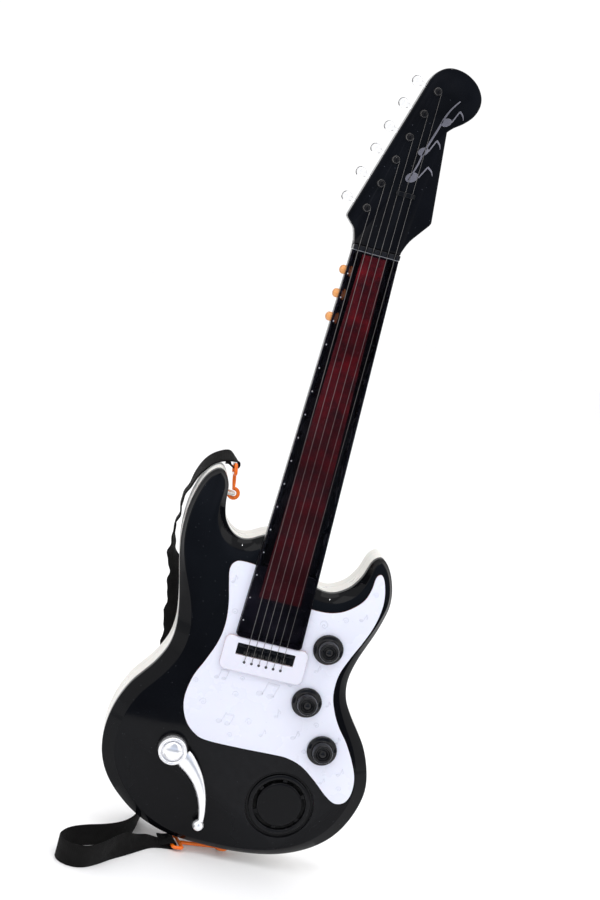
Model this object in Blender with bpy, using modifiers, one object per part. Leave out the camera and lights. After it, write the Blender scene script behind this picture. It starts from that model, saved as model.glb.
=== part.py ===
"""Toy electric guitar with a strap: black and white hollow body, lit neck and six strings.

Lengths are given in millimetres. x runs across the guitar, y goes from the player's side of the
front face into the body, and z runs up the neck from the lowest point of the body.
"""
import math

import bmesh
import bpy
from mathutils import Matrix, Vector

MM = 0.001
HANGER_Z = 505.0          # where a stand's yoke grips the neck: the origin of the part
GAP = 0.3                 # between pieces that touch

# body, seen from the front
BODY_STEPS = 2            # smooth steps between two outline points
FRONT_DEPTH = 11.0        # black front shell
CHAMFER_DEPTH = 5.5       # how far back its sloping edge reaches
MID_BACK = 28.0           # back of the white middle frame
BODY_BACK = 45.0          # flat back of the body
BACK_ROUND = 6.0
WALL = 3.0
FACE_WALL = 2.6
TIP_SHARE = 0.6           # most of the outline's own radius that an inset may use

# pickguard and bridge
GUARD_FRONT = -1.9
PLATE_FRONT = -6.0
PLATE_X, PLATE_Z = 34.2, (152.2, 180.7)
SLOT_X, SLOT_Z = 23.8, (166.2, 176.0)
TAIL_HOLE_Z = 161.1
STRINGS = 6
STRING_RADIUS = 0.4
PITCH_BRIDGE = 6.0
PITCH_NUT = 5.8

# neck
NECK_END, NECK_TOP = 181.0, 499.0
NECK_HALF_END, NECK_HALF_TOP = 26.9, 18.6
NECK_DEPTH = 14.0
NECK_WALL = 2.2
TONGUE_Z = 240.0          # below this the neck is only a tray on the face of the body
PANEL_FRONT = -7.0
PANEL_BACK = -4.0
NECK_EDGE = -3.7
FRET_PITCH = 19.0
NUT_Z = (499.3, 503.3)
NUT_FRONT = -9.6
BUTTON_Z = (482.0, 463.2, 444.4)
BUTTON_RADIUS = 3.6
BUTTON_Y = 0.7
BUTTON_PROUD = 4.7
BUTTON_TRAVEL = 2.0

# headstock
HEAD_FRONT = -5.5
HEAD_SPLIT = 0.2
HEAD_BACK = 8.0
POSTS = ((-16.4, 532.0), (-10.7, 552.7), (-4.5, 572.7), (1.0, 591.7), (7.0, 611.3), (12.7, 630.0))
HEAD_EDGE_DIRECTION = (0.282, 0.9594)

# controls on the face
KNOBS = ((48.3, 186.3), (42.9, 139.7), (65.6, 103.4))
KNOB_RADIUS = 12.3
SHAFT_RADIUS = 3.0
HUB = (-52.0, 77.0)
SPEAKER = (44.5, 49.6)
SPEAKER_RADIUS = 27.9

# back of the body
DOOR_X, DOOR_Z = 27.0, (100.0, 162.0)
SWITCH = (52.0, 176.0)
SCREWS = ((-78.0, 62.0), (84.0, 62.0), (-73.0, 232.0), (73.0, 226.0))

BAND = 18.0               # width of the webbing
BAND_THICK = 1.4
HOOK_WIRE = 1.5
HOOK_FRAME = (11.2, 7.5)  # half width and depth of the frame that holds the webbing

BODY_OUTLINE = (          # x, z and the width of the chamfer
    (-72.5, 306.3, 3), (-80.2, 300, 3), (-85.6, 287, 3), (-89, 268, 3), (-88.4, 245, 3),
    (-83.5, 221, 5), (-77.5, 197, 9), (-74, 175, 11), (-76, 156, 11), (-84.5, 138.5, 10.5),
    (-97, 121, 10.5), (-105.5, 101, 10.5), (-108.8, 79, 10.5), (-106, 58, 10), (-97, 40, 9.5),
    (-82, 24.5, 8), (-62, 11.2, 6.5), (-36, 2.6, 5.5), (-4, 0.1, 5.5), (26, 0.9, 5.5),
    (53, 5.4, 6.5), (76, 15, 8), (94, 29.5, 9.5), (105.5, 49, 10), (111, 72, 10),
    (108, 92, 9.5), (99, 112.5, 8.5), (86, 130, 7), (75.5, 146.5, 6), (72.2, 164, 6),
    (76, 184, 5.5), (83.5, 206, 4.5), (88.6, 229, 3.5), (86.5, 246, 3), (80, 260.5, 3),
    (72, 267.4, 3), (65.2, 262, 3.2), (61.3, 250, 4.5), (54, 238, 6.5), (42, 230.2, 7),
    (30, 230.2, 7), (21.5, 235, 6), (12, 248, 5), (0, 260, 5), (-13, 265.5, 6),
    (-25, 262.2, 7), (-33, 257.6, 8), (-41.5, 255.7, 8),
    (-50.5, 259.6, 8), (-58, 269.5, 6.5), (-61.2, 283, 4.5), (-62.2, 294, 3.5), (-66, 302.6, 3))

GUARD_OUTLINE = (
    (-37, 239.8), (-43.3, 236.8), (-45, 230.5), (-42.8, 220), (-38.6, 203), (-37, 186.5),
    (-39, 171), (-45, 154), (-51, 139.5), (-53.5, 123.5), (-52, 112), (-47, 101.5),
    (-39, 93.8), (-28, 89.8), (0, 89.6), (26, 90.4), (40, 90.2), (53, 86.2), (66, 77.2),
    (79, 66.3), (88, 61.7), (95.7, 64.6), (99, 73.5), (98, 86), (93, 98), (84, 113),
    (74, 125.5), (66.8, 138), (62.5, 151), (62.5, 167), (67.4, 182.2), (73.9, 197.4),
    (79.3, 212.6), (81.8, 227.8), (81, 240), (77.6, 251), (73.8, 255.6), (70.4, 252.5),
    (69.4, 242), (66.5, 232.5), (59.8, 224.6), (50, 218), (37, 214.9), (20, 216.5),
    (0, 228), (-20, 238))


# ---------------------------------------------------------------- helpers

def place(x, y, z):
    """A point in metres from the hanger."""
    return Vector((x, y, z - HANGER_Z)) * MM


def clear_scene():
    for ob in list(bpy.data.objects):
        bpy.data.objects.remove(ob, do_unlink=True)


def collection(name):
    group = bpy.data.collections.new(name)
    bpy.context.scene.collection.children.link(group)
    return group


def material(name, colour, roughness=0.35, metallic=0.0, transmission=0.0):
    mat = bpy.data.materials.new(name)
    mat.use_nodes = True
    shader = mat.node_tree.nodes["Principled BSDF"]
    shader.inputs["Base Color"].default_value = (*colour, 1.0)
    shader.inputs["Roughness"].default_value = roughness
    shader.inputs["Metallic"].default_value = metallic
    shader.inputs["Transmission Weight"].default_value = transmission
    mat.diffuse_color = (*colour, 1.0)
    return mat


def add_object(name, data, mat=None, group=None):
    ob = bpy.data.objects.new(name, data)
    (group or PARTS).objects.link(ob)
    if mat:
        data.materials.append(mat)
    return ob


def mesh_object(name, bm, mat=None, group=None, smooth=False):
    bmesh.ops.recalc_face_normals(bm, faces=bm.faces[:])
    data = bpy.data.meshes.new(name)
    bm.to_mesh(data)
    bm.free()
    if smooth:
        data.polygons.foreach_set("use_smooth", [True] * len(data.polygons))
    return add_object(name, data, mat, group)


def cutter_look(ob):
    ob.hide_render = True
    ob.display_type = 'WIRE'
    return ob


def as_mesh(ob, mat=None):
    """Turn a curve into a welded mesh object of the same name."""
    bpy.context.view_layer.update()
    shape = bpy.data.meshes.new_from_object(ob.evaluated_get(bpy.context.evaluated_depsgraph_get()))
    bm = bmesh.new()
    bm.from_mesh(shape)
    bmesh.ops.remove_doubles(bm, verts=bm.verts[:], dist=1e-6)
    bm.to_mesh(shape)
    bm.free()
    name, group, matrix = ob.name, ob.users_collection[0], ob.matrix_world.copy()
    bpy.data.objects.remove(ob, do_unlink=True)
    shape.materials.clear()
    new = add_object(name, shape, mat, group)
    new.matrix_world = matrix
    return new


def set_pivot(ob, point):
    """Move the object's origin to a point without moving the object."""
    shift = point - ob.location
    ob.data.transform(Matrix.Translation(-shift))
    ob.location = point
    return ob


def bevel(ob, width, segments=2, angle=40.0):
    mod = ob.modifiers.new("edge", 'BEVEL')
    mod.width = width * MM
    mod.segments = segments
    mod.limit_method = 'ANGLE'
    mod.angle_limit = math.radians(angle)
    mod.harden_normals = False
    return ob


def boolean(ob, tools, operation='DIFFERENCE'):
    for tool in tools:
        mod = ob.modifiers.new("cut", 'BOOLEAN')
        mod.operation = operation
        mod.solver = 'EXACT'
        mod.object = cutter_look(tool)
    return ob


def smooth_loop(points, steps):
    """A smooth closed line through the points (uniform Catmull-Rom)."""
    count = len(points)
    loop = []
    for i in range(count):
        p0, p1, p2, p3 = (Vector(points[(i + k - 1) % count]) for k in range(4))
        for s in range(steps):
            t = s / steps
            loop.append(0.5 * (2 * p1 + (p2 - p0) * t + (2 * p0 - 5 * p1 + 4 * p2 - p3) * t * t
                               + (3 * p1 - p0 - 3 * p2 + p3) * t ** 3))
    return loop


def bend_radius(a, b, c, turn):
    """Radius of the outline at b where it bulges outwards, else a large number."""
    u, v = (b - a).to_2d(), (c - b).to_2d()
    bend = turn * (u.x * v.y - u.y * v.x) / (u.length * v.length)
    return (c - a).to_2d().length / (2 * bend) if bend > 0.01 else 1000.0


def inset(loop, distance):
    """Shift each point of a closed (x, z) line inwards; distance is a number or a function of it.

    At the tips of the horns the shift stays under the outline's own radius.
    """
    area = sum(a.x * b.y - b.x * a.y for a, b in zip(loop, loop[1:] + loop[:1]))
    turn = 1.0 if area > 0 else -1.0
    count = len(loop)
    radii = [bend_radius(loop[i - 1], p, loop[(i + 1) % count], turn) for i, p in enumerate(loop)]
    result = []
    for i, p in enumerate(loop):
        run = (loop[(i + 1) % count] - loop[i - 1]).to_2d().normalized()
        inward = Vector((-run.y, run.x)) * turn
        d = distance(p) if callable(distance) else distance
        near = min(radii[(i + k) % count] + 1.5 * abs(k) for k in (-2, -1, 0, 1, 2))
        result.append(Vector((p.x, p.y)) + inward * min(d, TIP_SHARE * near))
    return result


def section(loop, y):
    return [place(p.x, y, p.y) for p in loop]


def loft(name, rings, mat=None, group=None, smooth=False, closed=False):
    """Skin a row of rings with equal numbers of points; closed joins the last to the first."""
    bm = bmesh.new()
    rows = [[bm.verts.new(p) for p in ring] for ring in rings]
    count = len(rings[0])
    pairs = list(zip(rows, rows[1:])) + ([(rows[-1], rows[0])] if closed else [])
    for a, b in pairs:
        for i in range(count):
            j = (i + 1) % count
            bm.faces.new((a[i], a[j], b[j], b[i]))
    if not closed:
        bm.faces.new(rows[0])
        bm.faces.new(rows[-1][::-1])
    return mesh_object(name, bm, mat, group, smooth)


def plate(name, loop, y_front, y_back, mat=None, group=None):
    """A flat piece with the given (x, z) outline, from a filled and extruded curve."""
    curve = bpy.data.curves.new(name, 'CURVE')
    curve.dimensions = '2D'
    curve.fill_mode = 'BOTH'
    curve.extrude = (y_back - y_front) / 2 * MM
    spline = curve.splines.new('POLY')
    spline.points.add(len(loop) - 1)
    for point, p in zip(spline.points, loop):
        point.co = (p[0] * MM, p[1] * MM, 0.0, 1.0)
    spline.use_cyclic_u = True
    ob = add_object(name, curve, None, group)
    ob.rotation_euler = (math.pi / 2, 0.0, 0.0)
    ob.location = place(0.0, (y_front + y_back) / 2, 0.0)
    return as_mesh(ob, mat)


def rounded_rectangle(x0, x1, z0, z1, radius, steps=4):
    loop = []
    corners = ((x1 - radius, z1 - radius, 0), (x0 + radius, z1 - radius, 90),
               (x0 + radius, z0 + radius, 180), (x1 - radius, z0 + radius, 270))
    for cx, cz, start in corners:
        for s in range(steps + 1):
            a = math.radians(start + 90 * s / steps)
            loop.append(Vector((cx + radius * math.cos(a), cz + radius * math.sin(a))))
    return loop


def block(name, x0, x1, y0, y1, z0, z1, mat=None, group=None):
    bm = bmesh.new()
    size = Matrix.Diagonal(((x1 - x0) * MM, (y1 - y0) * MM, (z1 - z0) * MM, 1.0))
    centre = Matrix.Translation(place((x0 + x1) / 2, (y0 + y1) / 2, (z0 + z1) / 2))
    bmesh.ops.create_cube(bm, size=1.0, matrix=centre @ size)
    return mesh_object(name, bm, mat, group)


def rod(name, start, end, radius, segments=16, mat=None, group=None):
    """A plain cylinder between two points in metres."""
    bm = bmesh.new()
    run = end - start
    turn = run.to_track_quat('Z', 'Y').to_matrix().to_4x4()
    matrix = Matrix.Translation((start + end) / 2) @ turn
    bmesh.ops.create_cone(bm, cap_ends=True, segments=segments, radius1=radius * MM,
                          radius2=radius * MM, depth=run.length, matrix=matrix)
    return mesh_object(name, bm, mat, group, smooth=False)


def turned(name, profile, pivot, axis, steps=24, mat=None, group=None):
    """A turned piece: the profile is (radius, height) in mm from its top down, along the axis."""
    data = bpy.data.meshes.new(name)
    points = [(r * MM, 0.0, h * MM) for r, h in profile]
    data.from_pydata(points, [(i, i + 1) for i in range(len(points) - 1)], [])
    ob = add_object(name, data, mat, group)
    screw = ob.modifiers.new("turn", 'SCREW')
    screw.angle = 2 * math.pi
    screw.steps = steps
    screw.render_steps = steps
    screw.use_merge_vertices = True
    screw.merge_threshold = 1e-6
    screw.use_smooth_shade = True
    screw.use_normal_calculate = False
    ob.rotation_euler = axis.to_track_quat('Z', 'Y').to_euler()
    ob.location = pivot
    return ob


def wire(name, points, radius, mat=None, group=None, resolution=2):
    """A round wire along points in metres."""
    curve = bpy.data.curves.new(name, 'CURVE')
    curve.dimensions = '3D'
    curve.bevel_depth = radius * MM
    curve.bevel_resolution = resolution
    curve.use_fill_caps = True
    spline = curve.splines.new('POLY')
    spline.points.add(len(points) - 1)
    for point, p in zip(spline.points, points):
        point.co = (*p, 1.0)
    return add_object(name, curve, mat, group)


def ribbon(name, route, mat, group=None):
    """Webbing: an open strip given thickness; route holds centre points and half-width vectors."""
    bm = bmesh.new()
    rows = [(bm.verts.new(c - w), bm.verts.new(c), bm.verts.new(c + w)) for c, w in route]
    for a, b in zip(rows, rows[1:]):
        bm.faces.new((a[0], a[1], b[1], b[0]))
        bm.faces.new((a[1], a[2], b[2], b[1]))
    ob = mesh_object(name, bm, mat, group, smooth=False)
    solid = ob.modifiers.new("thickness", 'SOLIDIFY')
    solid.thickness = BAND_THICK * MM
    solid.offset = 0.0
    return ob


# ---------------------------------------------------------------- materials

def make_materials():
    return {
        "black": material("black_gloss_plastic", (0.012, 0.012, 0.014), 0.18),
        "shell": material("front_shell_plastic", (0.016, 0.016, 0.018), 0.2),
        "white": material("white_plastic", (0.82, 0.80, 0.77), 0.35),
        "white_back": material("white_back_plastic", (0.82, 0.80, 0.77), 0.38),
        "guard": material("pickguard_white", (0.80, 0.79, 0.88), 0.3),
        "plate": material("bridge_white", (0.83, 0.82, 0.89), 0.3),
        "string": material("string_steel", (0.55, 0.54, 0.54), 0.35, 0.9),
        "neck": material("neck_plastic", (0.014, 0.013, 0.015), 0.3),
        "smoke": material("smoky_panel", (0.03, 0.012, 0.015), 0.1, 0.0, 0.5),
        "red": material("light_window_red", (0.22, 0.01, 0.015), 0.3),
        "board": material("circuit_board_green", (0.03, 0.18, 0.07), 0.5),
        "head": material("headstock_plastic", (0.012, 0.012, 0.015), 0.22),
        "ornament": material("ornament_plastic", (0.08, 0.08, 0.1), 0.25),
        "post": material("post_plastic", (0.03, 0.03, 0.035), 0.12),
        "clear": material("clear_plastic", (0.85, 0.87, 0.9), 0.08, 0.0, 0.9),
        "knob": material("knob_plastic", (0.015, 0.015, 0.017), 0.22),
        "orange": material("orange_plastic", (0.95, 0.2, 0.02), 0.15, 0.0, 0.4),
        "silver": material("plated_silver", (0.82, 0.82, 0.82), 0.12, 1.0),
        "grille": material("grille_plastic", (0.014, 0.014, 0.016), 0.3),
        "driver": material("speaker_paper", (0.05, 0.05, 0.05), 0.8),
        "webbing": material("black_webbing", (0.015, 0.015, 0.016), 0.9),
        "tray": material("battery_tray_plastic", (0.03, 0.03, 0.03), 0.5),
        "cell": material("battery_wrap", (0.10, 0.12, 0.3), 0.35),
        "screw": material("screw_steel", (0.5, 0.5, 0.5), 0.3, 1.0),
    }


# ---------------------------------------------------------------- body

def body_loop():
    """The outline of the body, with the chamfer's width as the third number."""
    return smooth_loop(BODY_OUTLINE, BODY_STEPS)


def neck_half(z):
    t = (z - NECK_END) / (NECK_TOP - NECK_END)
    return NECK_HALF_END + (NECK_HALF_TOP - NECK_HALF_END) * t


def neck_outer(z, extra=0.0):
    """Half round section of the neck's back at one height, from the left edge to the right."""
    w = neck_half(z) + extra
    deep = NECK_DEPTH + extra
    shape = ((-1.0, 0.12), (-0.97, 0.42), (-0.86, 0.70), (-0.62, 0.90), (-0.32, 0.98), (0.0, 1.0))
    half = [(sx * w, sy * deep) for sx, sy in shape]
    return half + [(-x, y) for x, y in half[-2::-1]]


def neck_pocket():
    """What the neck's deep part needs cut from the body, with clearance."""
    rings = []
    for z in (TONGUE_Z - GAP, 320.0):
        curve = neck_outer(z, GAP)
        w = neck_half(z) + GAP
        rings.append([place(x, y, z) for x, y in [(-w, -12.0)] + curve + [(w, -12.0)]])
    return loft("pocket_cutter", rings, None, CUTTERS)


def face_holes(y0, y1, radius):
    """Cutters for the control shafts."""
    spots = [*KNOBS, HUB]
    return [rod("shaft_cutter", place(x, y0, z), place(x, y1, z), radius, 20, None, CUTTERS)
            for x, z in spots]


def make_front_shell(mats, loop):
    chamfer = inset(loop, lambda p: p.z)
    inner = inset(loop, WALL)
    roof = inset(loop, lambda p: p.z + WALL)
    rings = [section(chamfer, 0.0), section(loop, CHAMFER_DEPTH), section(loop, FRONT_DEPTH),
             section(inner, FRONT_DEPTH), section(inner, CHAMFER_DEPTH + 2.0),
             section(roof, FACE_WALL)]
    shell = loft("body_front_shell", rings, mats["shell"])
    x, z = SPEAKER
    hole = rod("speaker_cutter", place(x, -5, z), place(x, 9, z), SPEAKER_RADIUS + GAP, 36,
               None, CUTTERS)
    return boolean(shell, [neck_pocket(), hole] + face_holes(-5, 9, SHAFT_RADIUS + GAP))


def make_mid_frame(mats, loop):
    inner = inset(loop, WALL)
    rings = [section(loop, FRONT_DEPTH + GAP), section(loop, MID_BACK),
             section(inner, MID_BACK), section(inner, FRONT_DEPTH + GAP)]
    frame = loft("body_mid_frame", rings, mats["white"], closed=True)
    boolean(frame, [neck_pocket()])
    return boolean(frame, tail_button(), 'UNION')


def make_back_shell(mats, loop):
    inner = inset(loop, WALL)
    first = MID_BACK + GAP
    r = BACK_ROUND
    rings = [section(loop, first), section(loop, BODY_BACK - r)]
    for degrees in (30, 60, 90):
        a = math.radians(degrees)
        rings.append(section(inset(loop, r * (1 - math.cos(a))), BODY_BACK - r + r * math.sin(a)))
    hollow = [section(inset(loop, r + 1.0), BODY_BACK - WALL),
              section(inner, BODY_BACK - r), section(inner, first)]
    shell = open_dish("body_back_shell", rings, hollow, mats["white_back"])
    tools = [door_cutter(1.6, GAP), door_cutter(8.0, -2.0)]
    for x, z in SCREWS:
        tools.append(rod("head_cutter", place(x, 41.0, z), place(x, 60, z), 3.4, 16, None, CUTTERS))
        tools.append(rod("hole_cutter", place(x, 20.0, z), place(x, 60, z), 1.7, 12, None, CUTTERS))
    x, z = SWITCH
    tools.append(block("switch_cutter", x - 2.4, x + 2.4, 38, 50, z - 6.4, z + 6.4, None, CUTTERS))
    bosses = [rod("screw_boss", place(x, 29.0, z), place(x, 43.0, z), 5.2, 16, None, CUTTERS)
              for x, z in SCREWS]
    boolean(shell, bosses + [upper_lug()], 'UNION')
    return boolean(shell, tools)


def open_dish(name, outside, inside, mat):
    """Closed wall from the outer rings, rim to back, and the inner rings, floor to rim."""
    bm = bmesh.new()
    outer = [[bm.verts.new(p) for p in ring] for ring in outside]
    inner = [[bm.verts.new(p) for p in ring] for ring in inside]
    count = len(outside[0])
    for a, b in list(zip(outer, outer[1:])) + list(zip(inner, inner[1:])) + [(inner[-1], outer[0])]:
        for i in range(count):
            j = (i + 1) % count
            bm.faces.new((a[i], a[j], b[j], b[i]))
    bm.faces.new(outer[-1][::-1])
    bm.faces.new(inner[0])
    return mesh_object(name, bm, mat)


def make_pickguard(mats):
    loop = smooth_loop([(x, z, 0) for x, z in GUARD_OUTLINE], 2)
    guard = plate("pickguard", loop, GUARD_FRONT, -GAP, mats["guard"])
    seat = [(neck_half(z) + GAP, z) for z in (NECK_END - GAP, 300.0)]
    (w0, z0), (w1, z1) = seat
    outline = [(-w0 + 3, z0), (w0 - 3, z0), (w0 - 0.9, z0 + 0.9), (w0, z0 + 3), (w1, z1),
               (-w1, z1), (-w0, z0 + 3), (-w0 + 0.9, z0 + 0.9)]
    tools = [plate("neck_seat_cutter", outline, -6.0, 3.0, None, CUTTERS)]
    tools += [rod("shaft_cutter", place(x, -6, z), place(x, 3, z), SHAFT_RADIUS + GAP, 20, None,
                  CUTTERS) for x, z in KNOBS]
    bevel(guard, 0.5, 1, 60)
    return boolean(guard, tools)


# ---------------------------------------------------------------- bridge and strings

def string_x(index, pitch):
    return (index - (STRINGS - 1) / 2) * pitch


def make_bridge(mats):
    base = plate("bridge_plate", rounded_rectangle(-PLATE_X, PLATE_X, *PLATE_Z, 5.0), PLATE_FRONT,
                 GUARD_FRONT - GAP, mats["plate"])
    bevel(base, 0.9, 2, 60)
    tools = [block("slot_cutter", -SLOT_X, SLOT_X, -12, 5, *SLOT_Z, None, CUTTERS)]
    for i in range(STRINGS):
        x = string_x(i, PITCH_BRIDGE)
        tools.append(rod("tail_cutter", place(x, -12, TAIL_HOLE_Z), place(x, -3.4, TAIL_HOLE_Z), 0.9,
                         12, None, CUTTERS))
    tools.append(block("neck_clear_cutter", -NECK_HALF_END - GAP, NECK_HALF_END + GAP, -12, 5,
                       NECK_END - GAP, NECK_END + 5, None, CUTTERS))
    boolean(base, tools)
    comb = block("bridge_comb", -SLOT_X + GAP, SLOT_X - GAP, -4.2, GUARD_FRONT - GAP,
                 SLOT_Z[0] + GAP, SLOT_Z[1] - GAP, mats["black"])
    ridge = block("comb_ridge", -SLOT_X + GAP, SLOT_X - GAP, -6.2, -3.0, SLOT_Z[1] - 3.0,
                  SLOT_Z[1] - GAP, None, CUTTERS)
    boolean(comb, [ridge], 'UNION')
    notches = [block("notch_cutter", string_x(i, PITCH_BRIDGE) - 0.9,
                     string_x(i, PITCH_BRIDGE) + 0.9, -8, -5.0, SLOT_Z[1] - 4, SLOT_Z[1] + 1, None,
                     CUTTERS) for i in range(STRINGS)]
    return boolean(comb, notches)


def string_route(index):
    """From the tail hole over the comb and the panel to the nut, then to the tuner post."""
    low, high = string_x(index, PITCH_BRIDGE), string_x(index, PITCH_NUT)
    post_x, post_z = POSTS[index]
    end_x = post_x + 2.95
    line = [(low, -4.0, TAIL_HOLE_Z), (low, -6.2, TAIL_HOLE_Z), (low, -6.8, TAIL_HOLE_Z + 0.9),
            (low, -7.3, SLOT_Z[1] - 1.5), (low, -7.8, NECK_END + 4), (high, -9.05, 501.3)]
    steps = [(high + (end_x - high) * 0.25, -7.9, 501.3 + (post_z - 501.3) * 0.25)]
    if index >= 3:
        t = (549.0 - 501.3) / (post_z - 501.3)
        steps = [(high + (end_x - high) * t, -7.3, 549.0)]
    return [place(*p) for p in line + steps + [(end_x, -7.6, post_z)]]


def make_strings(mats):
    for i in range(STRINGS):
        wire(f"string_{i + 1}", string_route(i), STRING_RADIUS, mats["string"], None, 1)


# ---------------------------------------------------------------- neck

def neck_ring(z, deep, pull=0.0, floor=None):
    """Section of the neck's channel, or of a solid stretch whose inside is filled up to a floor."""
    outer = neck_outer(z)
    w = neck_half(z)
    narrow = (w - pull) / w
    thin = (w - pull - NECK_WALL) / w
    inner = [(x * thin, y - NECK_WALL if floor is None else floor) for x, y in outer]
    if not deep:
        outer = [(x * narrow, -GAP) for x, y in outer]
    w *= narrow
    line = [(-w, NECK_EDGE)] + outer + [(w, NECK_EDGE), (w - NECK_WALL, NECK_EDGE)]
    line += inner[::-1] + [(-w + NECK_WALL, NECK_EDGE)]
    return [place(x, y, z) for x, y in line]


def make_neck_shell(mats):
    filled, floor = NECK_EDGE + 0.2, -GAP - 2.0
    rings = [neck_ring(NECK_END, False, 3.0, filled), neck_ring(NECK_END + 0.9, False, 0.9, filled),
             neck_ring(NECK_END + 3.0, False, 0.0, filled),
             neck_ring(NECK_END + 3.3, False, 0.0, floor), neck_ring(TONGUE_Z, False, 0.0, floor),
             neck_ring(TONGUE_Z + 0.2, True), neck_ring(NECK_TOP - 1.7, True),
             neck_ring(NECK_TOP - 1.5, True, 0.0, filled), neck_ring(NECK_TOP, True, 0.0, filled)]
    shell = loft("neck_back_shell", rings, mats["neck"])
    tools = []
    for z in BUTTON_Z:
        w = neck_half(z)
        tools.append(rod("button_cutter", place(-w - 5, BUTTON_Y, z), place(-w + 8, BUTTON_Y, z),
                         BUTTON_RADIUS + GAP, 16, None, CUTTERS))
    return boolean(shell, tools)


def panel_ring(z, front, pull=0.0):
    w = neck_half(z) - pull
    line = [(-w, PANEL_BACK), (-w, front + 1.0), (-w + 0.8, front), (w - 0.8, front),
            (w, front + 1.0), (w, PANEL_BACK)]
    return [place(x, y, z) for x, y in line]


def make_panel(mats):
    rings = [panel_ring(NECK_END, PANEL_FRONT, 3.0), panel_ring(NECK_END + 0.9, PANEL_FRONT, 0.9),
             panel_ring(NECK_END + 3.0, PANEL_FRONT)]
    frets = []
    z = NECK_TOP - FRET_PITCH
    while z > NECK_END + 10:
        frets.append(z)
        z -= FRET_PITCH
    for z in reversed(frets):
        rings += [panel_ring(z - 0.6, PANEL_FRONT), panel_ring(z - 0.3, PANEL_FRONT - 0.3),
                  panel_ring(z + 0.3, PANEL_FRONT - 0.3), panel_ring(z + 0.6, PANEL_FRONT)]
    rings.append(panel_ring(NECK_TOP, PANEL_FRONT))
    return loft("fret_panel", rings, mats["smoke"])


def make_lights(mats):
    block("light_window", -8.4, 8.4, PANEL_BACK + GAP, PANEL_BACK + 1.3, 215, 497, mats["red"])
    block("light_board", -6.0, 6.0, PANEL_BACK + 1.7, PANEL_BACK + 2.9, 246, 492, mats["board"])


def make_nut(mats):
    w = neck_half(NECK_TOP)
    nut = block("nut", -w, w, NUT_FRONT, HEAD_SPLIT, *NUT_Z, mats["black"])
    tools = []
    for i in range(STRINGS):
        x = string_x(i, PITCH_NUT)
        tools.append(rod("groove_cutter", place(x, -9.2, NUT_Z[0] - 3), place(x, -9.2, NUT_Z[1] + 3),
                         0.9, 12, None, CUTTERS))
    bevel(nut, 0.5, 2, 60)
    return boolean(nut, tools)


def make_buttons(mats):
    for i, z in enumerate(BUTTON_Z):
        w = neck_half(z)
        profile = ((0, BUTTON_PROUD), (1.4, BUTTON_PROUD - 0.15), (2.5, BUTTON_PROUD - 0.7),
                   (3.3, BUTTON_PROUD - 1.8), (BUTTON_RADIUS, BUTTON_PROUD - 3.0),
                   (BUTTON_RADIUS, -3.9), (4.4, -3.9), (4.4, -5.0), (0, -5.0))
        turned(f"neck_button_{i + 1}", profile, place(-w, BUTTON_Y, z), Vector((-1, 0, 0)), 16,
               mats["orange"])


# ---------------------------------------------------------------- headstock

def head_outline(z_low):
    curve = smooth_loop([(4.6, 637.3, 0), (8.2, 643.4, 0), (14, 648.2, 0), (21.5, 650.0, 0),
                         (31, 648.6, 0), (40, 643.6, 0), (46, 636, 0), (47.6, 628, 0),
                         (45, 619.5, 0), (39, 612.4, 0), (32, 606.9, 0), (28.1, 602.7, 0)], 3)
    tip = curve[:11 * 3 + 1]
    w = neck_half(NECK_TOP)
    right = [(35.3, 534.5), (35.0, 532.4), (33.5, 530), (25.2, 519), (21.4, 512.5), (w + 0.4, 506),
             (w, z_low)]
    left = [(-w, z_low), (-w - 0.4, 506), (-21.5, 514.3), (-24.6, 517.6), (-28.2, 521.2),
            (-29.2, 522.8), (-29, 524.6)]
    return [Vector((p.x, p.y)) for p in tip] + [Vector(p) for p in right + left]


def peg_line(index):
    """Start and direction of one tuning peg, square to the headstock's left edge."""
    x, z = POSTS[index]
    dx, dz = HEAD_EDGE_DIRECTION
    return Vector((x, z)), Vector((-dz, dx))


def make_headstock(mats):
    front = plate("headstock_front", head_outline(NUT_Z[1] + GAP), HEAD_FRONT, HEAD_SPLIT,
                  mats["head"])
    back = plate("headstock_back", head_outline(NUT_Z[0]), HEAD_SPLIT + GAP, HEAD_BACK,
                 mats["head"])
    bevel(front, 0.8, 1, 60)
    bevel(back, 1.6, 1, 60)
    tools_front, tools_back = [], []
    for i, (x, z) in enumerate(POSTS):
        tools_front.append(rod("post_cutter", place(x, -10, z), place(x, -1.5, z), 1.5, 12, None,
                               CUTTERS))
        start, run = peg_line(i)
        a, b = start + run * 4.0, start + run * 24.0
        tools_back.append(rod("peg_cutter", place(a.x, 4.2, a.y), place(b.x, 4.2, b.y), 1.9, 12,
                              None, CUTTERS))
    boolean(front, tools_front)
    boolean(back, tools_back)


def make_tuners(mats):
    for i, (x, z) in enumerate(POSTS):
        post = ((0, 5.2), (1.2, 5.0), (2.3, 4.2), (2.6, 3.2), (2.2, 2.6), (2.2, 1.2), (3.0, 0.8),
                (3.0, GAP), (1.2, GAP), (1.2, -3.4), (0, -3.4))
        turned(f"tuner_post_{i + 1}", post, place(x, HEAD_FRONT, z), Vector((0, -1, 0)), 12,
               mats["post"])
        start, run = peg_line(i)
        base = start + run * 9.2
        axis = Vector((run.x, 0, run.y))
        peg = ((0, 11.6), (1.8, 11.3), (3.2, 10.2), (3.9, 8.6), (3.9, 6.8), (3.2, 5.0), (1.9, 3.6),
               (1.6, 2.4), (1.6, -3.6), (0, -3.6))
        ob = turned(f"tuner_peg_{i + 1}", peg, place(base.x, 4.2, base.y), axis, 12, mats["clear"])
        ob.rotation_euler = peg_matrix(axis).to_euler()
        ob.scale = (0.62, 1.0, 1.0)


def peg_matrix(axis):
    """Turn local +Z to the axis and local +X to the guitar's depth."""
    deep = Vector((0, 1, 0))
    side = axis.cross(deep)
    return Matrix((deep, side, axis)).transposed()


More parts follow.
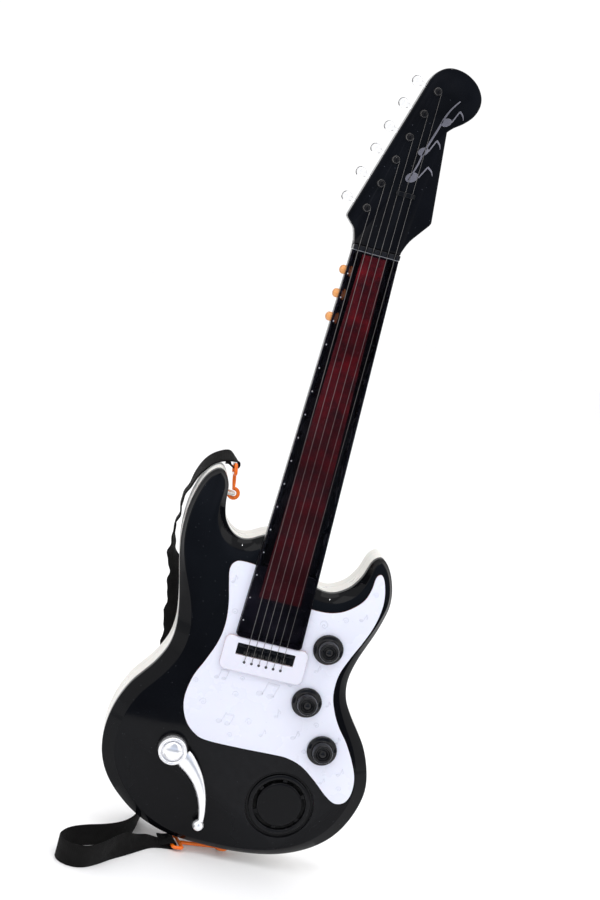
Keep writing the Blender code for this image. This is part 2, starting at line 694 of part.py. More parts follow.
def make_retainer(mats):
    x0, x1 = 2.6, 17.2
    bar = block("string_retainer", x0, x1, -8.6, HEAD_FRONT - GAP, 547.2, 550.8, mats["black"])
    bevel(bar, 0.5, 1, 60)
    tools = []
    for i in range(3, STRINGS):
        a, b = string_route(i)[-3], string_route(i)[-1]
        mid = string_route(i)[-2]
        tools.append(rod("retainer_cutter", mid + (a - mid).normalized() * 0.006,
                         mid + (b - mid).normalized() * 0.006, 0.95, 12, None, CUTTERS))
    return boolean(bar, tools)


def make_ornament(mats):
    """A raised pair of joined music notes on a long curl, standing for the guitar's decoration."""
    y0, y1 = HEAD_FRONT - GAP - 0.7, HEAD_FRONT - GAP
    spine = [(9.0, 562), (12.5, 572), (15.0, 584), (18.5, 596), (22.5, 608), (26.0, 620),
             (30.5, 628)]
    half = (1.6, 1.1, 0.9, 0.8, 0.9, 1.0, 0.6)
    left, right = [], []
    for i, (p, h) in enumerate(zip(spine, half)):
        a = Vector(spine[max(i - 1, 0)])
        b = Vector(spine[min(i + 1, len(spine) - 1)])
        side = (b - a).normalized()
        side = Vector((-side.y, side.x)) * h
        left.append(Vector(p) + side)
        right.append(Vector(p) - side)
    base = plate("headstock_ornament", left + right[::-1], y0, y1, mats["ornament"])
    tools = []
    for cx, cz in ((12.0, 569.0), (17.6, 589.0), (24.4, 611.0)):
        ring = []
        for k in range(14):
            a = 2 * math.pi * k / 14
            u, v = 3.3 * math.cos(a), 2.3 * math.sin(a)
            ring.append((cx + 2.2 + u * 0.9 - v * 0.4, cz + u * 0.4 + v * 0.9))
        tools.append(plate("note_head", ring, y0 - 0.01, y1 + 0.0, None, CUTTERS))
        stem = [(cx + 4.2, cz), (cx + 5.3, cz), (cx + 7.0, cz + 9.0), (cx + 5.9, cz + 9.0)]
        tools.append(plate("note_stem", stem, y0 + 0.01, y1 - 0.01, None, CUTTERS))
    return boolean(base, tools, 'UNION')


# ---------------------------------------------------------------- controls

def make_knobs(mats):
    profile = ((0, 10.9), (4.6, 10.9), (5.4, 12.0), (6.9, 12.0), (7.6, 11.3), (8.8, 4.2),
               (9.6, 3.5), (11.7, 3.1), (KNOB_RADIUS, 2.4), (KNOB_RADIUS, GAP),
               (SHAFT_RADIUS, GAP), (SHAFT_RADIUS, -9.0), (0, -9.0))
    for i, (x, z) in enumerate(KNOBS):
        turned(f"knob_{i + 1}", profile, place(x, GUARD_FRONT, z), Vector((0, -1, 0)), 24,
               mats["knob"])


def lever_section(centre, run, width, height, y):
    """Rounded section of the lever's arm, across its run."""
    side = Vector((-run.y, run.x))
    ring = []
    for k in range(10):
        a = 2 * math.pi * k / 10
        p = centre + side * (width / 2 * math.cos(a))
        ring.append(place(p.x, y + height / 2 * math.sin(a), p.y))
    return ring


def make_whammy(mats):
    x, z = HUB
    collar = turned("whammy_collar", ((SHAFT_RADIUS + GAP, 4.0), (11.9, 4.0), (12.6, 3.2),
                                      (12.6, GAP), (SHAFT_RADIUS + GAP, GAP),
                                      (SHAFT_RADIUS + GAP, 4.0)),
                    place(x, 0, z), Vector((0, -1, 0)), 24, mats["black"])
    hub = turned("whammy_lever", ((0, 12.0), (4.0, 11.9), (7.6, 11.3), (8.6, 10.7), (9.0, 10.0),
                                  (9.6, 10.0), (10.4, 10.5), (11.3, 9.8), (11.6, 8.8),
                                  (11.6, 4.3), (SHAFT_RADIUS, 4.3), (SHAFT_RADIUS, -7.0),
                                  (0, -7.0)),
                 place(x, 0, z), Vector((0, -1, 0)), 28, mats["silver"])
    path = ((-46.0, 73.5, 13.0, 4.6), (-39.5, 70.6, 14.0, 4.6), (-33.2, 65.8, 12.4, 4.5),
            (-27.4, 59.0, 10.2, 4.4), (-22.6, 51.0, 8.2, 4.3), (-19.0, 42.4, 6.7, 4.2),
            (-16.6, 33.5, 5.5, 4.0), (-15.4, 25.0, 4.7, 4.0), (-15.9, 20.0, 4.4, 4.0))
    rings = []
    for i, (px, pz, width, height) in enumerate(path):
        a = Vector(path[max(i - 1, 0)][:2])
        b = Vector(path[min(i + 1, len(path) - 1)][:2])
        rings.append(lever_section(Vector((px, pz)), (b - a).normalized(), width, height, -7.3))
    arm = loft("lever_arm", rings, None, CUTTERS)
    bm = bmesh.new()
    bmesh.ops.create_uvsphere(bm, u_segments=16, v_segments=10, radius=4.7 * MM,
                              matrix=Matrix.Translation(place(-16.4, -7.3, 20.6)))
    ball = mesh_object("lever_ball", bm, None, CUTTERS)
    boolean(hub, [arm, ball], 'UNION')
    return collar, hub


def make_speaker(mats):
    x, z = SPEAKER
    profile = ((0, 0.0), (18.0, 0.0), (18.6, -0.6), (18.6, -1.6), (21.4, -1.6), (21.4, -0.4),
               (22.0, 0.2), (25.0, 0.2), (25.6, -0.4), (25.6, -1.8), (SPEAKER_RADIUS, -1.8),
               (SPEAKER_RADIUS, -4.0), (0, -4.0))
    grille = turned("speaker_grille", profile, place(x, 0, z), Vector((0, -1, 0)), 36,
                    mats["grille"])
    tools = []
    for k in range(6):
        start = 90 + 60 * k + 5
        arc = []
        for radius, order in ((21.4, range(7)), (18.6, range(6, -1, -1))):
            for s in order:
                a = math.radians(start + 50 * s / 6)
                arc.append((x + radius * math.cos(a), z + radius * math.sin(a)))
        tools.append(plate("slot_cutter", arc, -6, 8, None, CUTTERS))
    boolean(grille, tools)
    driver = ((0, -12.0), (6.0, -12.5), (9.0, -14.0), (21.0, -7.5), (23.0, -6.6), (24.5, -7.4),
              (27.0, -7.4), (27.0, -9.0), (24.0, -9.0), (13.0, -17.0), (13.0, -24.0), (0, -24.0))
    return turned("speaker_driver", driver, place(x, 0, z), Vector((0, -1, 0)), 28, mats["driver"])


# ---------------------------------------------------------------- strap

def strap_route():
    """Centre points and half-width directions of the webbing, from the horn to the tail.

    Both ends fold back round the bar of a hook.
    """
    flat = (1, 0, 0)
    upright = (0, 0, -1)
    bar = (0.0, 0.991, -0.129)
    tail = (0.24, -0.97, 0.0)
    return (
        ((-67.4, 37.0, 310.7), (0.0, 0.93, 0.36)), ((-64.6, 38.4, 309.7), (0.03, 0.95, 0.22)),
        ((-62.0, 39.5, 305.9), (0.0, 0.99, -0.06)), ((-58.6, 40.1, 303.9), bar),
        ((-56.4, 40.3, 305.3), bar), ((-55.9, 40.6, 307.5), bar), ((-57.1, 40.8, 309.5), bar),
        ((-60.2, 40.6, 310.9), (0.03, 0.98, 0.05)), ((-66.4, 37.6, 313.0), (0.0, 0.93, 0.36)),
        ((-75.6, 32.5, 309.9), (-0.08, 0.94, 0.30)), ((-82.2, 29.5, 303.8), (-0.15, 0.96, 0.2)),
        ((-87.4, 28.5, 294.0), (-0.1, 0.99, 0.05)), ((-90.4, 29.0, 282.0), (0, 1, 0)),
        ((-93.0, 30.0, 269.0), (0, 1, 0)), ((-91.8, 32.0, 255.0), (0.05, 1, 0)),
        ((-92.6, 35.0, 242.0), (0.1, 1, 0)), ((-90.6, 39.0, 230.0), (0.25, 0.97, 0)),
        ((-85.6, 45.5, 218.0), (0.62, 0.78, 0)), ((-79.6, 51.0, 205.0), (0.85, 0.5, 0)),
        ((-75.5, 54.0, 188.0), (0.98, 0.18, 0)), ((-72.5, 55.0, 168.0), flat),
        ((-68.5, 55.0, 140.0), flat), ((-63.5, 54.5, 105.0), flat), ((-60.5, 54.5, 70.0), flat),
        ((-60.5, 55.0, 42.0), flat), ((-62.0, 56.0, 24.0), (0.9, 0, -0.42)),
        ((-64.5, 56.5, 10.0), (0.62, 0.0, -0.78)), ((-67.0, 52.0, 3.0), (0.3, 0.05, -0.95)),
        ((-67.8, 42.0, 1.4), (0.08, 0, -1)), ((-68.0, 22.0, 1.2), upright),
        ((-70.5, 4.0, 1.2), upright), ((-77.5, -10.0, 1.2), upright),
        ((-90.0, -20.5, 1.2), upright), ((-104.0, -29.5, 1.2), upright),
        ((-115.5, -39.5, 1.2), upright), ((-122.0, -50.5, 1.2), upright),
        ((-123.5, -60.0, 1.2), upright), ((-119.5, -68.0, 1.2), upright),
        ((-111.0, -72.0, 1.2), upright), ((-101.0, -69.0, 1.2), upright),
        ((-91.0, -58.5, 1.2), upright), ((-80.0, -41.0, 1.2), upright),
        ((-69.5, -23.5, 1.2), (0.05, -0.1, -0.99)), ((-60.0, -8.5, 0.6), (0.2, -0.45, -0.87)),
        ((-51.5, 2.0, -2.6), (0.26, -0.84, -0.47)), ((-44.0, 6.2, -5.7), (0.25, -0.96, -0.12)),
        ((-38.5, 7.7, -7.0), tail), ((-33.0, 9.0, -7.1), tail), ((-31.0, 9.5, -6.2), tail),
        ((-30.3, 9.7, -4.4), tail), ((-31.0, 9.5, -2.6), tail), ((-33.0, 9.0, -1.7), tail),
        ((-37.5, 7.9, -2.9), tail), ((-43.0, 6.4, -3.9), (0.25, -0.96, -0.12)))


def smooth_route(route, steps):
    """A finer open route through the given centres and directions."""
    fine = []
    count = len(route)
    for i in range(count - 1):
        idx = [max(i - 1, 0), i, i + 1, min(i + 2, count - 1)]
        c = [Vector(route[k][0]) for k in idx]
        d = [Vector(route[k][1]) for k in idx]
        for s in range(steps):
            t = s / steps
            centre = 0.5 * (2 * c[1] + (c[2] - c[0]) * t + (2 * c[0] - 5 * c[1] + 4 * c[2] - c[3])
                            * t * t + (3 * c[1] - c[0] - 3 * c[2] + c[3]) * t ** 3)
            fine.append((centre, d[1].lerp(d[2], t).normalized()))
    fine.append((Vector(route[-1][0]), Vector(route[-1][1]).normalized()))
    return fine


def make_strap(mats):
    rows = []
    for centre, across in smooth_route(strap_route(), 2):
        rows.append((place(*centre), across * (BAND / 2 * MM)))
    return ribbon("strap_webbing", rows, mats["webbing"])


def hook_route(bar, ring, side, size):
    """Straight shank from the frame that holds the webbing to an open ring."""
    shank = (ring - bar).normalized()
    points = [bar + shank * HOOK_FRAME[1], ring - shank * size]
    for degrees in range(30, 301, 30):
        a = math.radians(degrees)
        points.append(ring - shank * (size * math.cos(a)) + side * (size * math.sin(a)))
    return [place(*p) for p in points]


def frame_route(bar, run, across):
    """Oblong frame in the plane of the band: the band folds round its first side."""
    half, depth = HOOK_FRAME
    cut = 1.6
    corners = ((-half + cut, 0), (half - cut, 0), (half, cut), (half, depth - cut),
               (half - cut, depth), (-half + cut, depth), (-half, depth - cut), (-half, cut))
    return [place(*(bar + across * u + run * v)) for u, v in corners]


def make_hook(name, bar, ring, side, across, size, mats):
    """Plastic strap hook in one piece: frame, shank and ring."""
    run = (ring - bar).normalized()
    frame = wire(name, frame_route(bar, run, across), HOOK_WIRE, None, None, 1)
    frame.data.splines[0].use_cyclic_u = True
    frame = as_mesh(frame, mats["orange"])
    shank = as_mesh(wire("hook_shank", hook_route(bar, ring, side, size), HOOK_WIRE + 0.1, None,
                         CUTTERS, 1))
    return boolean(frame, [shank], 'UNION')


def make_strap_hardware(mats):
    bar, ring = Vector((-58.8, 40.5, 307.0)), Vector((-54.5, 37.5, 284.0))
    run = (ring - bar).normalized()
    side = (Vector((1, 0, 0)) - run * run.x).normalized()
    make_hook("strap_hook_upper", bar, ring, side, run.cross(side), 3.9, mats)
    bar, ring = Vector((-33.0, 9.0, -4.4)), Vector((10.0, 19.6, -4.4))
    run = (ring - bar).normalized()
    side = run.cross(Vector((0, 0, 1))).normalized()
    make_hook("strap_hook_lower", bar, ring, side, side, 4.3, mats)


def upper_lug():
    """Loop on the inner side of the upper horn, for the upper hook."""
    line = ((-63.5, 33, 284), (-56.5, 33, 284), (-54.9, 34, 284), (-54.5, 35.5, 284),
            (-54.5, 39.5, 284), (-54.9, 41, 284), (-56.5, 42, 284), (-63.5, 42, 284))
    return as_mesh(wire("strap_lug", [place(*p) for p in line], 1.5, None, CUTTERS, 1))


def tail_button():
    """Strap button under the tail, for the lower hook."""
    bm = bmesh.new()
    for radius, top, low in ((2.2, 2.5, -7.4), (3.4, -6.5, -7.5)):
        matrix = Matrix.Translation(place(10.0, 19.6, (top + low) / 2))
        bmesh.ops.create_cone(bm, cap_ends=True, segments=16, radius1=radius * MM,
                              radius2=radius * MM, depth=(top - low) * MM, matrix=matrix)
        if radius < 3:
            stem = mesh_object("button_stem", bm, None, CUTTERS)
            bm = bmesh.new()
    return [stem, mesh_object("button_head", bm, None, CUTTERS)]


# ---------------------------------------------------------------- inside and back

def door_cutter(depth, margin):
    return block("door_cutter", -DOOR_X - margin, DOOR_X + margin, BODY_BACK - depth, 60,
                 DOOR_Z[0] - margin, DOOR_Z[1] + margin, None, CUTTERS)


def make_power(mats):
    door = block("battery_door", -DOOR_X, DOOR_X, BODY_BACK - 1.3, BODY_BACK, *DOOR_Z,
                 mats["white_back"])
    bevel(door, 0.4, 1, 60)
    set_pivot(door, place(0, BODY_BACK, (DOOR_Z[0] + DOOR_Z[1]) / 2))
    tray = block("battery_tray", -DOOR_X + 2.3, DOOR_X - 2.3, 23.5, 41.6, DOOR_Z[0] + 2.3,
                 DOOR_Z[1] - 2.3, mats["tray"])
    room = block("tray_cutter", -DOOR_X + 3.8, DOOR_X - 3.8, 25.0, 50, DOOR_Z[0] + 3.8,
                 DOOR_Z[1] - 3.8, None, CUTTERS)
    boolean(tray, [room])
    cell = ((0, 25.2), (2.7, 25.2), (2.7, 24.2), (6.9, 24.2), (7.1, 23.8), (7.1, -24.8), (6.8, -25.2),
            (0, -25.2))
    middle = (DOOR_Z[0] + DOOR_Z[1]) / 2
    for i, x in enumerate((-15.2, 0.0, 15.2)):
        up = Vector((0, 0, 1 if i % 2 else -1))
        turned(f"battery_{i + 1}", cell, place(x, 33.0, middle), up, 18, mats["cell"])
    block("circuit_board", -40, 26, 15.0, 16.6, 104, 158, mats["board"])
    x, z = SWITCH
    slider = block("power_switch", x - 2.0, x + 2.0, 40.0, 46.6, z - 3.4, z + 3.4, mats["black"])
    flange = block("switch_flange", x - 4.0, x + 4.0, 39.0, 41.4, z - 4.4, z + 4.4, None, CUTTERS)
    boolean(slider, [flange], 'UNION')
    set_pivot(slider, place(x, 43, z))
    for i, (sx, sz) in enumerate(SCREWS):
        screw = ((0, 0.0), (1.6, 0.0), (2.9, -0.8), (2.9, -1.9), (1.4, -2.3), (1.4, -12.0),
                 (0.2, -13.0), (0, -13.0))
        turned(f"body_screw_{i + 1}", screw, place(sx, 43.6, sz), Vector((0, 1, 0)), 12,
               mats["screw"])


def main():
    mats = make_materials()
    loop = body_loop()
    make_front_shell(mats, loop)
    make_mid_frame(mats, loop)
    make_back_shell(mats, loop)
    make_pickguard(mats)
    make_bridge(mats)
    make_strings(mats)
    make_neck_shell(mats)
    make_panel(mats)
    make_lights(mats)
    make_nut(mats)
    make_buttons(mats)
    make_headstock(mats)
    make_tuners(mats)
    make_retainer(mats)
    make_ornament(mats)
    make_knobs(mats)
    make_whammy(mats)
    make_speaker(mats)
    make_strap(mats)
    make_strap_hardware(mats)
    make_power(mats)


clear_scene()
PARTS = collection("toy_electric_guitar")
CUTTERS = collection("cutters")
main()
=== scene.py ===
"""Looks of the toy electric guitar: gloss shells, lit neck, strings, controls and webbing strap.

Lengths in the modelling code are millimetres: x across the guitar, y from the front face into the
body, z up the neck from the lowest point of the body. place() turns them into the shared frame.
"""
import math

import bmesh
import bpy
from mathutils import Matrix, Vector


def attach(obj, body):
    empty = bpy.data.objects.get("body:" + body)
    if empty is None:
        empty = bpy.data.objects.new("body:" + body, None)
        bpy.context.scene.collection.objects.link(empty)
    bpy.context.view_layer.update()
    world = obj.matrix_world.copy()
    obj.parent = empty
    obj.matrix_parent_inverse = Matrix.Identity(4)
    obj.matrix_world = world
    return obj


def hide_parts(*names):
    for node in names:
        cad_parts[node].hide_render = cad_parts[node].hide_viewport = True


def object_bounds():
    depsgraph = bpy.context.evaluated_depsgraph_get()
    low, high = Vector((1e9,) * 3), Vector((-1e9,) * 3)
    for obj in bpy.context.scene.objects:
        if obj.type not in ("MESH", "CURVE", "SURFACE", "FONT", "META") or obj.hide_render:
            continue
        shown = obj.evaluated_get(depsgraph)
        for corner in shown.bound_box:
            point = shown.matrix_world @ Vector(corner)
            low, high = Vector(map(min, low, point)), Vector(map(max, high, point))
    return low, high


bl_info = {
    "name": "Toy Electric Guitar",
    "version": (1, 0, 0),
    "blender": (4, 5, 0),
    "location": "View3D > Sidebar > Guitar",
    "description": "Builds the shells, neck, controls and strap of a toy electric guitar",
    "category": "Object",
}

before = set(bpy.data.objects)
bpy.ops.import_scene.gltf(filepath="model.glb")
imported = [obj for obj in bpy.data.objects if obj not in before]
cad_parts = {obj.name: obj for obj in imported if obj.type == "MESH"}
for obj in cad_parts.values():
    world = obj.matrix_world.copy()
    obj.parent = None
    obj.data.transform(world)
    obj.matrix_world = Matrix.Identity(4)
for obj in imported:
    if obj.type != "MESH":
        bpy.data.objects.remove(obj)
CAD_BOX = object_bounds()

MM = 0.001
FORWARD, REARWARD = Vector((0, -1, 0)), Vector((0, 1, 0))   # out of the face, out of the back
HANGER_Z = 505.0
GAP = 0.3
FRONT_DEPTH = 11.0
MID_BACK = 28.0
BODY_BACK = 45.0
BACK_ROUND = 6.0
WALL = 3.0
FACE_WALL = 2.6
TIP_SHARE = 0.6
LOOP_STEPS = 4            # smooth steps added between the body's section points
GUARD_FRONT = -1.9
PLATE_FRONT = -6.0
PLATE_X, PLATE_Z = 34.2, (152.2, 180.7)
SLOT_X, SLOT_Z = 23.8, (166.2, 176.0)
TAIL_HOLE_Z = 161.1
STRINGS = 6
PITCH_BRIDGE, PITCH_NUT = 6.0, 5.8
WRAP_RADIUS, WRAP_PITCH, WRAP_STEPS = 2.65, 0.75, 24   # string turns round a post
NECK_END, NECK_TOP = 181.0, 499.0
NECK_HALF_END, NECK_HALF_TOP = 26.9, 18.6
NECK_DEPTH, NECK_WALL = 14.0, 2.2
TONGUE_Z = 240.0
PANEL_FRONT, PANEL_BACK, NECK_EDGE = -7.0, -4.0, -3.7
FRET_PITCH = 19.0
WINDOW_OUTLINE = ((9.4, 497), (-9.4, 497), (-17.0, 215.4), (-16.6, 215), (16.6, 215), (17.0, 215.4))
NUT_Z, NUT_FRONT = (499.3, 503.3), -9.6
NUT_CREST = 501.3
RETAINER_Z = 549.0
BUTTON_Z, BUTTON_RADIUS, BUTTON_Y, BUTTON_PROUD = (482.0, 463.2, 444.4), 3.6, 0.7, 4.7
HEAD_FRONT, HEAD_SPLIT, HEAD_BACK = -5.5, 0.2, 8.0
POSTS = ((-16.4, 532.0), (-10.7, 552.7), (-4.5, 572.7), (1.0, 591.7), (7.0, 611.3), (12.7, 630.0))
HEAD_EDGE_DIRECTION = (0.282, 0.9594)
KNOBS = ((48.3, 186.3), (42.9, 139.7), (65.6, 103.4))
KNOB_RADIUS, SHAFT_RADIUS = 12.3, 3.0
HUB = (-52.0, 77.0)
SPEAKER, SPEAKER_RADIUS = (44.5, 49.6), 27.9
DOOR_X, DOOR_Z = 27.0, (100.0, 162.0)
SWITCH = (52.0, 176.0)
SCREWS = ((-78.0, 62.0), (84.0, 62.0), (-73.0, 232.0), (73.0, 226.0))
HOOK_FRAME = (11.2, 7.5)

BODY_OUTLINE = (          # x, z and the width of the chamfer
    (-72.5, 306.3, 3), (-80.2, 300, 3), (-85.6, 287, 3), (-89, 268, 3), (-88.4, 245, 3),
    (-83.5, 221, 5), (-77.5, 197, 9), (-74, 175, 11), (-76, 156, 11), (-84.5, 138.5, 10.5),
    (-97, 121, 10.5), (-105.5, 101, 10.5), (-108.8, 79, 10.5), (-106, 58, 10), (-97, 40, 9.5),
    (-82, 24.5, 8), (-62, 11.2, 6.5), (-36, 2.6, 5.5), (-4, 0.1, 5.5), (26, 0.9, 5.5),
    (53, 5.4, 6.5), (76, 15, 8), (94, 29.5, 9.5), (105.5, 49, 10), (111, 72, 10),
    (108, 92, 9.5), (99, 112.5, 8.5), (86, 130, 7), (75.5, 146.5, 6), (72.2, 164, 6),
    (76, 184, 5.5), (83.5, 206, 4.5), (88.6, 229, 3.5), (86.5, 246, 3), (80, 260.5, 3),
    (72, 267.4, 3), (65.2, 262, 3.2), (61.3, 250, 4.5), (54, 238, 6.5), (42, 230.2, 7),
    (30, 230.2, 7), (21.5, 235, 6), (12, 248, 5), (0, 260, 5), (-13, 265.5, 6),
    (-25, 262.2, 7), (-33, 257.6, 8), (-41.5, 255.7, 8),
    (-50.5, 259.6, 8), (-58, 269.5, 6.5), (-61.2, 283, 4.5), (-62.2, 294, 3.5), (-66, 302.6, 3))

GUARD_OUTLINE = (
    (-37, 239.8), (-43.3, 236.8), (-45, 230.5), (-42.8, 220), (-38.6, 203), (-37, 186.5),
    (-39, 171), (-45, 154), (-51, 139.5), (-53.5, 123.5), (-52, 112), (-47, 101.5),
    (-39, 93.8), (-28, 89.8), (0, 89.6), (26, 90.4), (40, 90.2), (53, 86.2), (66, 77.2),
    (79, 66.3), (88, 61.7), (95.7, 64.6), (99, 73.5), (98, 86), (93, 98), (84, 113),
    (74, 125.5), (66.8, 138), (62.5, 151), (62.5, 167), (67.4, 182.2), (73.9, 197.4),
    (79.3, 212.6), (81.8, 227.8), (81, 240), (77.6, 251), (73.8, 255.6), (70.4, 252.5),
    (69.4, 242), (66.5, 232.5), (59.8, 224.6), (50, 218), (37, 214.9), (20, 216.5),
    (0, 228), (-20, 238))

HEAD_TIP = ((4.6, 637.3), (8.2, 643.4), (14, 648.2), (21.5, 650.0), (31, 648.6), (40, 643.6),
            (46, 636), (47.6, 628), (45, 619.5), (39, 612.4), (32, 606.9), (28.1, 602.7))

# music notes in low relief on the pickguard: x, z, tilt in degrees, size, kind
NOTES = ((-33, 143, -8, 1.0, "pair"), (-14, 132, 12, 0.8, "curl"), (4, 138, -12, 1.5, "pair"),
         (22, 122, 10, 0.9, "single"), (-38, 120, -5, 0.9, "curl"), (-22, 108, -14, 1.2, "pair"),
         (2, 112, 0, 0.9, "curl"), (40, 108, -10, 1.0, "single"), (-40, 222, 5, 0.8, "single"),
         (40, 204, -10, 1.1, "curl"), (68, 216, -15, 0.9, "single"), (74, 238, -10, 0.7, "curl"),
         (44, 166, 0, 0.8, "single"), (26, 150, 0, 0.8, "curl"), (84, 86, -10, 0.9, "single"),
         (56, 122, 0, 0.7, "curl"), (88, 74, 6, 0.7, "curl"),
         (-48, 136, 10, 0.7, "curl"), (-30, 158, -6, 0.8, "single"), (-12, 146, 15, 0.6, "curl"),
         (-32, 198, 12, 0.8, "curl"), (32, 138, 5, 0.7, "curl"), (14, 104, -8, 0.8, "single"),
         (-10, 98, 10, 0.7, "curl"), (76, 112, 12, 0.7, "single"), (52, 98, 8, 0.6, "curl"),
         (56, 212, -10, 0.8, "curl"), (60, 140, 4, 0.6, "single"), (72, 76, -6, 0.7, "single"))


# ---------------------------------------------------------------- sizes and colours

def colour_property(name, description, value):
    return bpy.props.FloatVectorProperty(name=name, description=description, subtype='COLOR',
                                         size=3, min=0.0, max=1.0, default=value)


class GuitarSizes(bpy.types.PropertyGroup):
    """Sizes that can be changed without moving a piece of the frame."""
    webbing_width: bpy.props.FloatProperty(
        name="Webbing width", description="Width of the strap", default=0.018, min=0.01,
        max=0.02, unit='LENGTH')
    webbing_thickness: bpy.props.FloatProperty(
        name="Webbing thickness", description="Thickness of the strap", default=0.0013,
        min=0.0008, max=0.002, unit='LENGTH')
    string_radius: bpy.props.FloatProperty(
        name="String radius", description="Radius of the thickest string", default=0.00025,
        min=0.0002, max=0.0005, unit='LENGTH')
    relief_height: bpy.props.FloatProperty(
        name="Relief height", description="How far the notes stand off the pickguard",
        default=0.00022, min=0.0001, max=0.0006, unit='LENGTH')
    hook_wire: bpy.props.FloatProperty(
        name="Hook wire radius", description="Radius of the orange hooks' frames",
        default=0.0015, min=0.001, max=0.002, unit='LENGTH')


class GuitarColours(bpy.types.PropertyGroup):
    """Colours of the mouldings, linear."""
    shell: colour_property("Front shell", "Gloss black of the body's front", (0.0024, 0.0025, 0.0032))
    sides: colour_property("Sides and back", "Warm white of the frame and back", (0.70, 0.685, 0.65))
    guard: colour_property("Pickguard", "Lilac white of the pickguard", (0.70, 0.715, 0.82))
    orange: colour_property("Orange plastic", "Hooks and neck buttons", (0.95, 0.17, 0.008))
    window: colour_property("Light window", "Dark red of the neck's diffuser", (0.2, 0.006, 0.01))
    webbing: colour_property("Webbing", "Black of the woven strap", (0.0022, 0.002, 0.002))
    silver: colour_property("Plating", "Bright silver of the lever", (0.93, 0.93, 0.95))
    floor: colour_property("Floor", "Pale studio floor", (0.955, 0.955, 0.965))


def sizes():
    return bpy.context.scene.guitar_sizes


def colours():
    return bpy.context.scene.guitar_colours


# ---------------------------------------------------------------- shaping

def place(x, y, z):
    """A point in metres from the hanger."""
    return Vector((x, y, z - HANGER_Z)) * MM


def mesh_object(name, bm):
    bmesh.ops.recalc_face_normals(bm, faces=bm.faces[:])
    data = bpy.data.meshes.new(name)
    bm.to_mesh(data)
    bm.free()
    ob = bpy.data.objects.new(name, data)
    bpy.context.scene.collection.objects.link(ob)
    return ob


def apply_modifiers(ob):
    bpy.context.view_layer.update()
    shape = ob.evaluated_get(bpy.context.evaluated_depsgraph_get())
    data = bpy.data.meshes.new_from_object(shape)
    old = ob.data
    ob.modifiers.clear()
    ob.data = data
    bpy.data.meshes.remove(old)
    return ob


def cut(ob, tools, operation='DIFFERENCE'):
    for tool in tools:
        mod = ob.modifiers.new("cut", 'BOOLEAN')
        mod.operation = operation
        mod.solver = 'EXACT'
        mod.object = tool
    apply_modifiers(ob)
    for tool in tools:
        bpy.data.objects.remove(tool, do_unlink=True)
    return ob


def soften(ob, width, segments=2, angle=32.0):
    mod = ob.modifiers.new("edge", 'BEVEL')
    mod.width = width * MM
    mod.segments = segments
    mod.limit_method = 'ANGLE'
    mod.angle_limit = math.radians(angle)
    return apply_modifiers(ob)


def shade(ob, sharp=32.0, flat_area=1.2e-4):
    """Smooth shading, except over large flat faces and across sharp edges."""
    data = ob.data
    data.polygons.foreach_set("use_smooth", [p.area < flat_area for p in data.polygons])
    data.set_sharp_from_angle(angle=math.radians(sharp))
    return ob


def spline_point(p0, p1, p2, p3, t):
    return 0.5 * (2 * p1 + (p2 - p0) * t + (2 * p0 - 5 * p1 + 4 * p2 - p3) * t * t
                  + (3 * p1 - p0 - 3 * p2 + p3) * t ** 3)


def smooth_loop(points, steps):
    """A smooth closed line through the points."""
    pts = [Vector(p) for p in points]
    count = len(pts)
    return [spline_point(pts[i - 1], pts[i], pts[(i + 1) % count], pts[(i + 2) % count], s / steps)
            for i in range(count) for s in range(steps)]


def smooth_line(points, steps):
    """A smooth open line through the points."""
    pts = [Vector(p) for p in points]
    last = len(pts) - 1
    line = [spline_point(pts[max(i - 1, 0)], pts[i], pts[i + 1], pts[min(i + 2, last)], s / steps)
            for i in range(last) for s in range(steps)]
    return line + [pts[-1]]


def bend_radius(a, b, c, turn):
    """Radius of the outline at b where it bulges outwards, else a large number."""
    u, v = (b - a).to_2d(), (c - b).to_2d()
    bend = turn * (u.x * v.y - u.y * v.x) / (u.length * v.length)
    return (c - a).to_2d().length / (2 * bend) if bend > 0.01 else 1000.0


def inset(loop, distance):
    """Shift a closed (x, z) line inwards, less where the outline itself is tightly bent."""
    area = sum(a.x * b.y - b.x * a.y for a, b in zip(loop, loop[1:] + loop[:1]))
    turn = 1.0 if area > 0 else -1.0
    count = len(loop)
    radii = [bend_radius(loop[i - 1], p, loop[(i + 1) % count], turn) for i, p in enumerate(loop)]
    result = []
    for i, p in enumerate(loop):
        run = (loop[(i + 1) % count] - loop[i - 1]).to_2d().normalized()
        inward = Vector((-run.y, run.x)) * turn
        d = distance(p) if callable(distance) else distance
        near = min(radii[(i + k) % count] + 1.5 * abs(k) for k in (-2, -1, 0, 1, 2))
        result.append(Vector((p.x, p.y)) + inward * min(d, TIP_SHARE * near))
    return result


def section(loop, y):
    return [place(p.x, y, p.y) for p in loop]


def skin(name, rings, closed=False):
    """Mesh through a row of rings with equal numbers of points, capped unless it closes on itself."""
    bm = bmesh.new()
    rows = [[bm.verts.new(p) for p in ring] for ring in rings]
    count = len(rings[0])
    pairs = list(zip(rows, rows[1:])) + ([(rows[-1], rows[0])] if closed else [])
    for a, b in pairs:
        for i in range(count):
            j = (i + 1) % count
            bm.faces.new((a[i], a[j], b[j], b[i]))
    if not closed:
        bm.faces.new(rows[0])
        bm.faces.new(rows[-1][::-1])
    return mesh_object(name, bm)


def slab_rings(loop, y_front, y_back, front, back, steps=4):
    rings = []
    for k in range(steps + 1):
        a = math.pi / 2 * k / steps
        rings.append(section(inset(loop, front * (1 - math.sin(a))), y_front + front * (1 - math.cos(a))))
    for k in range(steps + 1):
        a = math.pi / 2 * k / steps
        rings.append(section(inset(loop, back * (1 - math.cos(a))), y_back - back * (1 - math.sin(a))))
    return rings


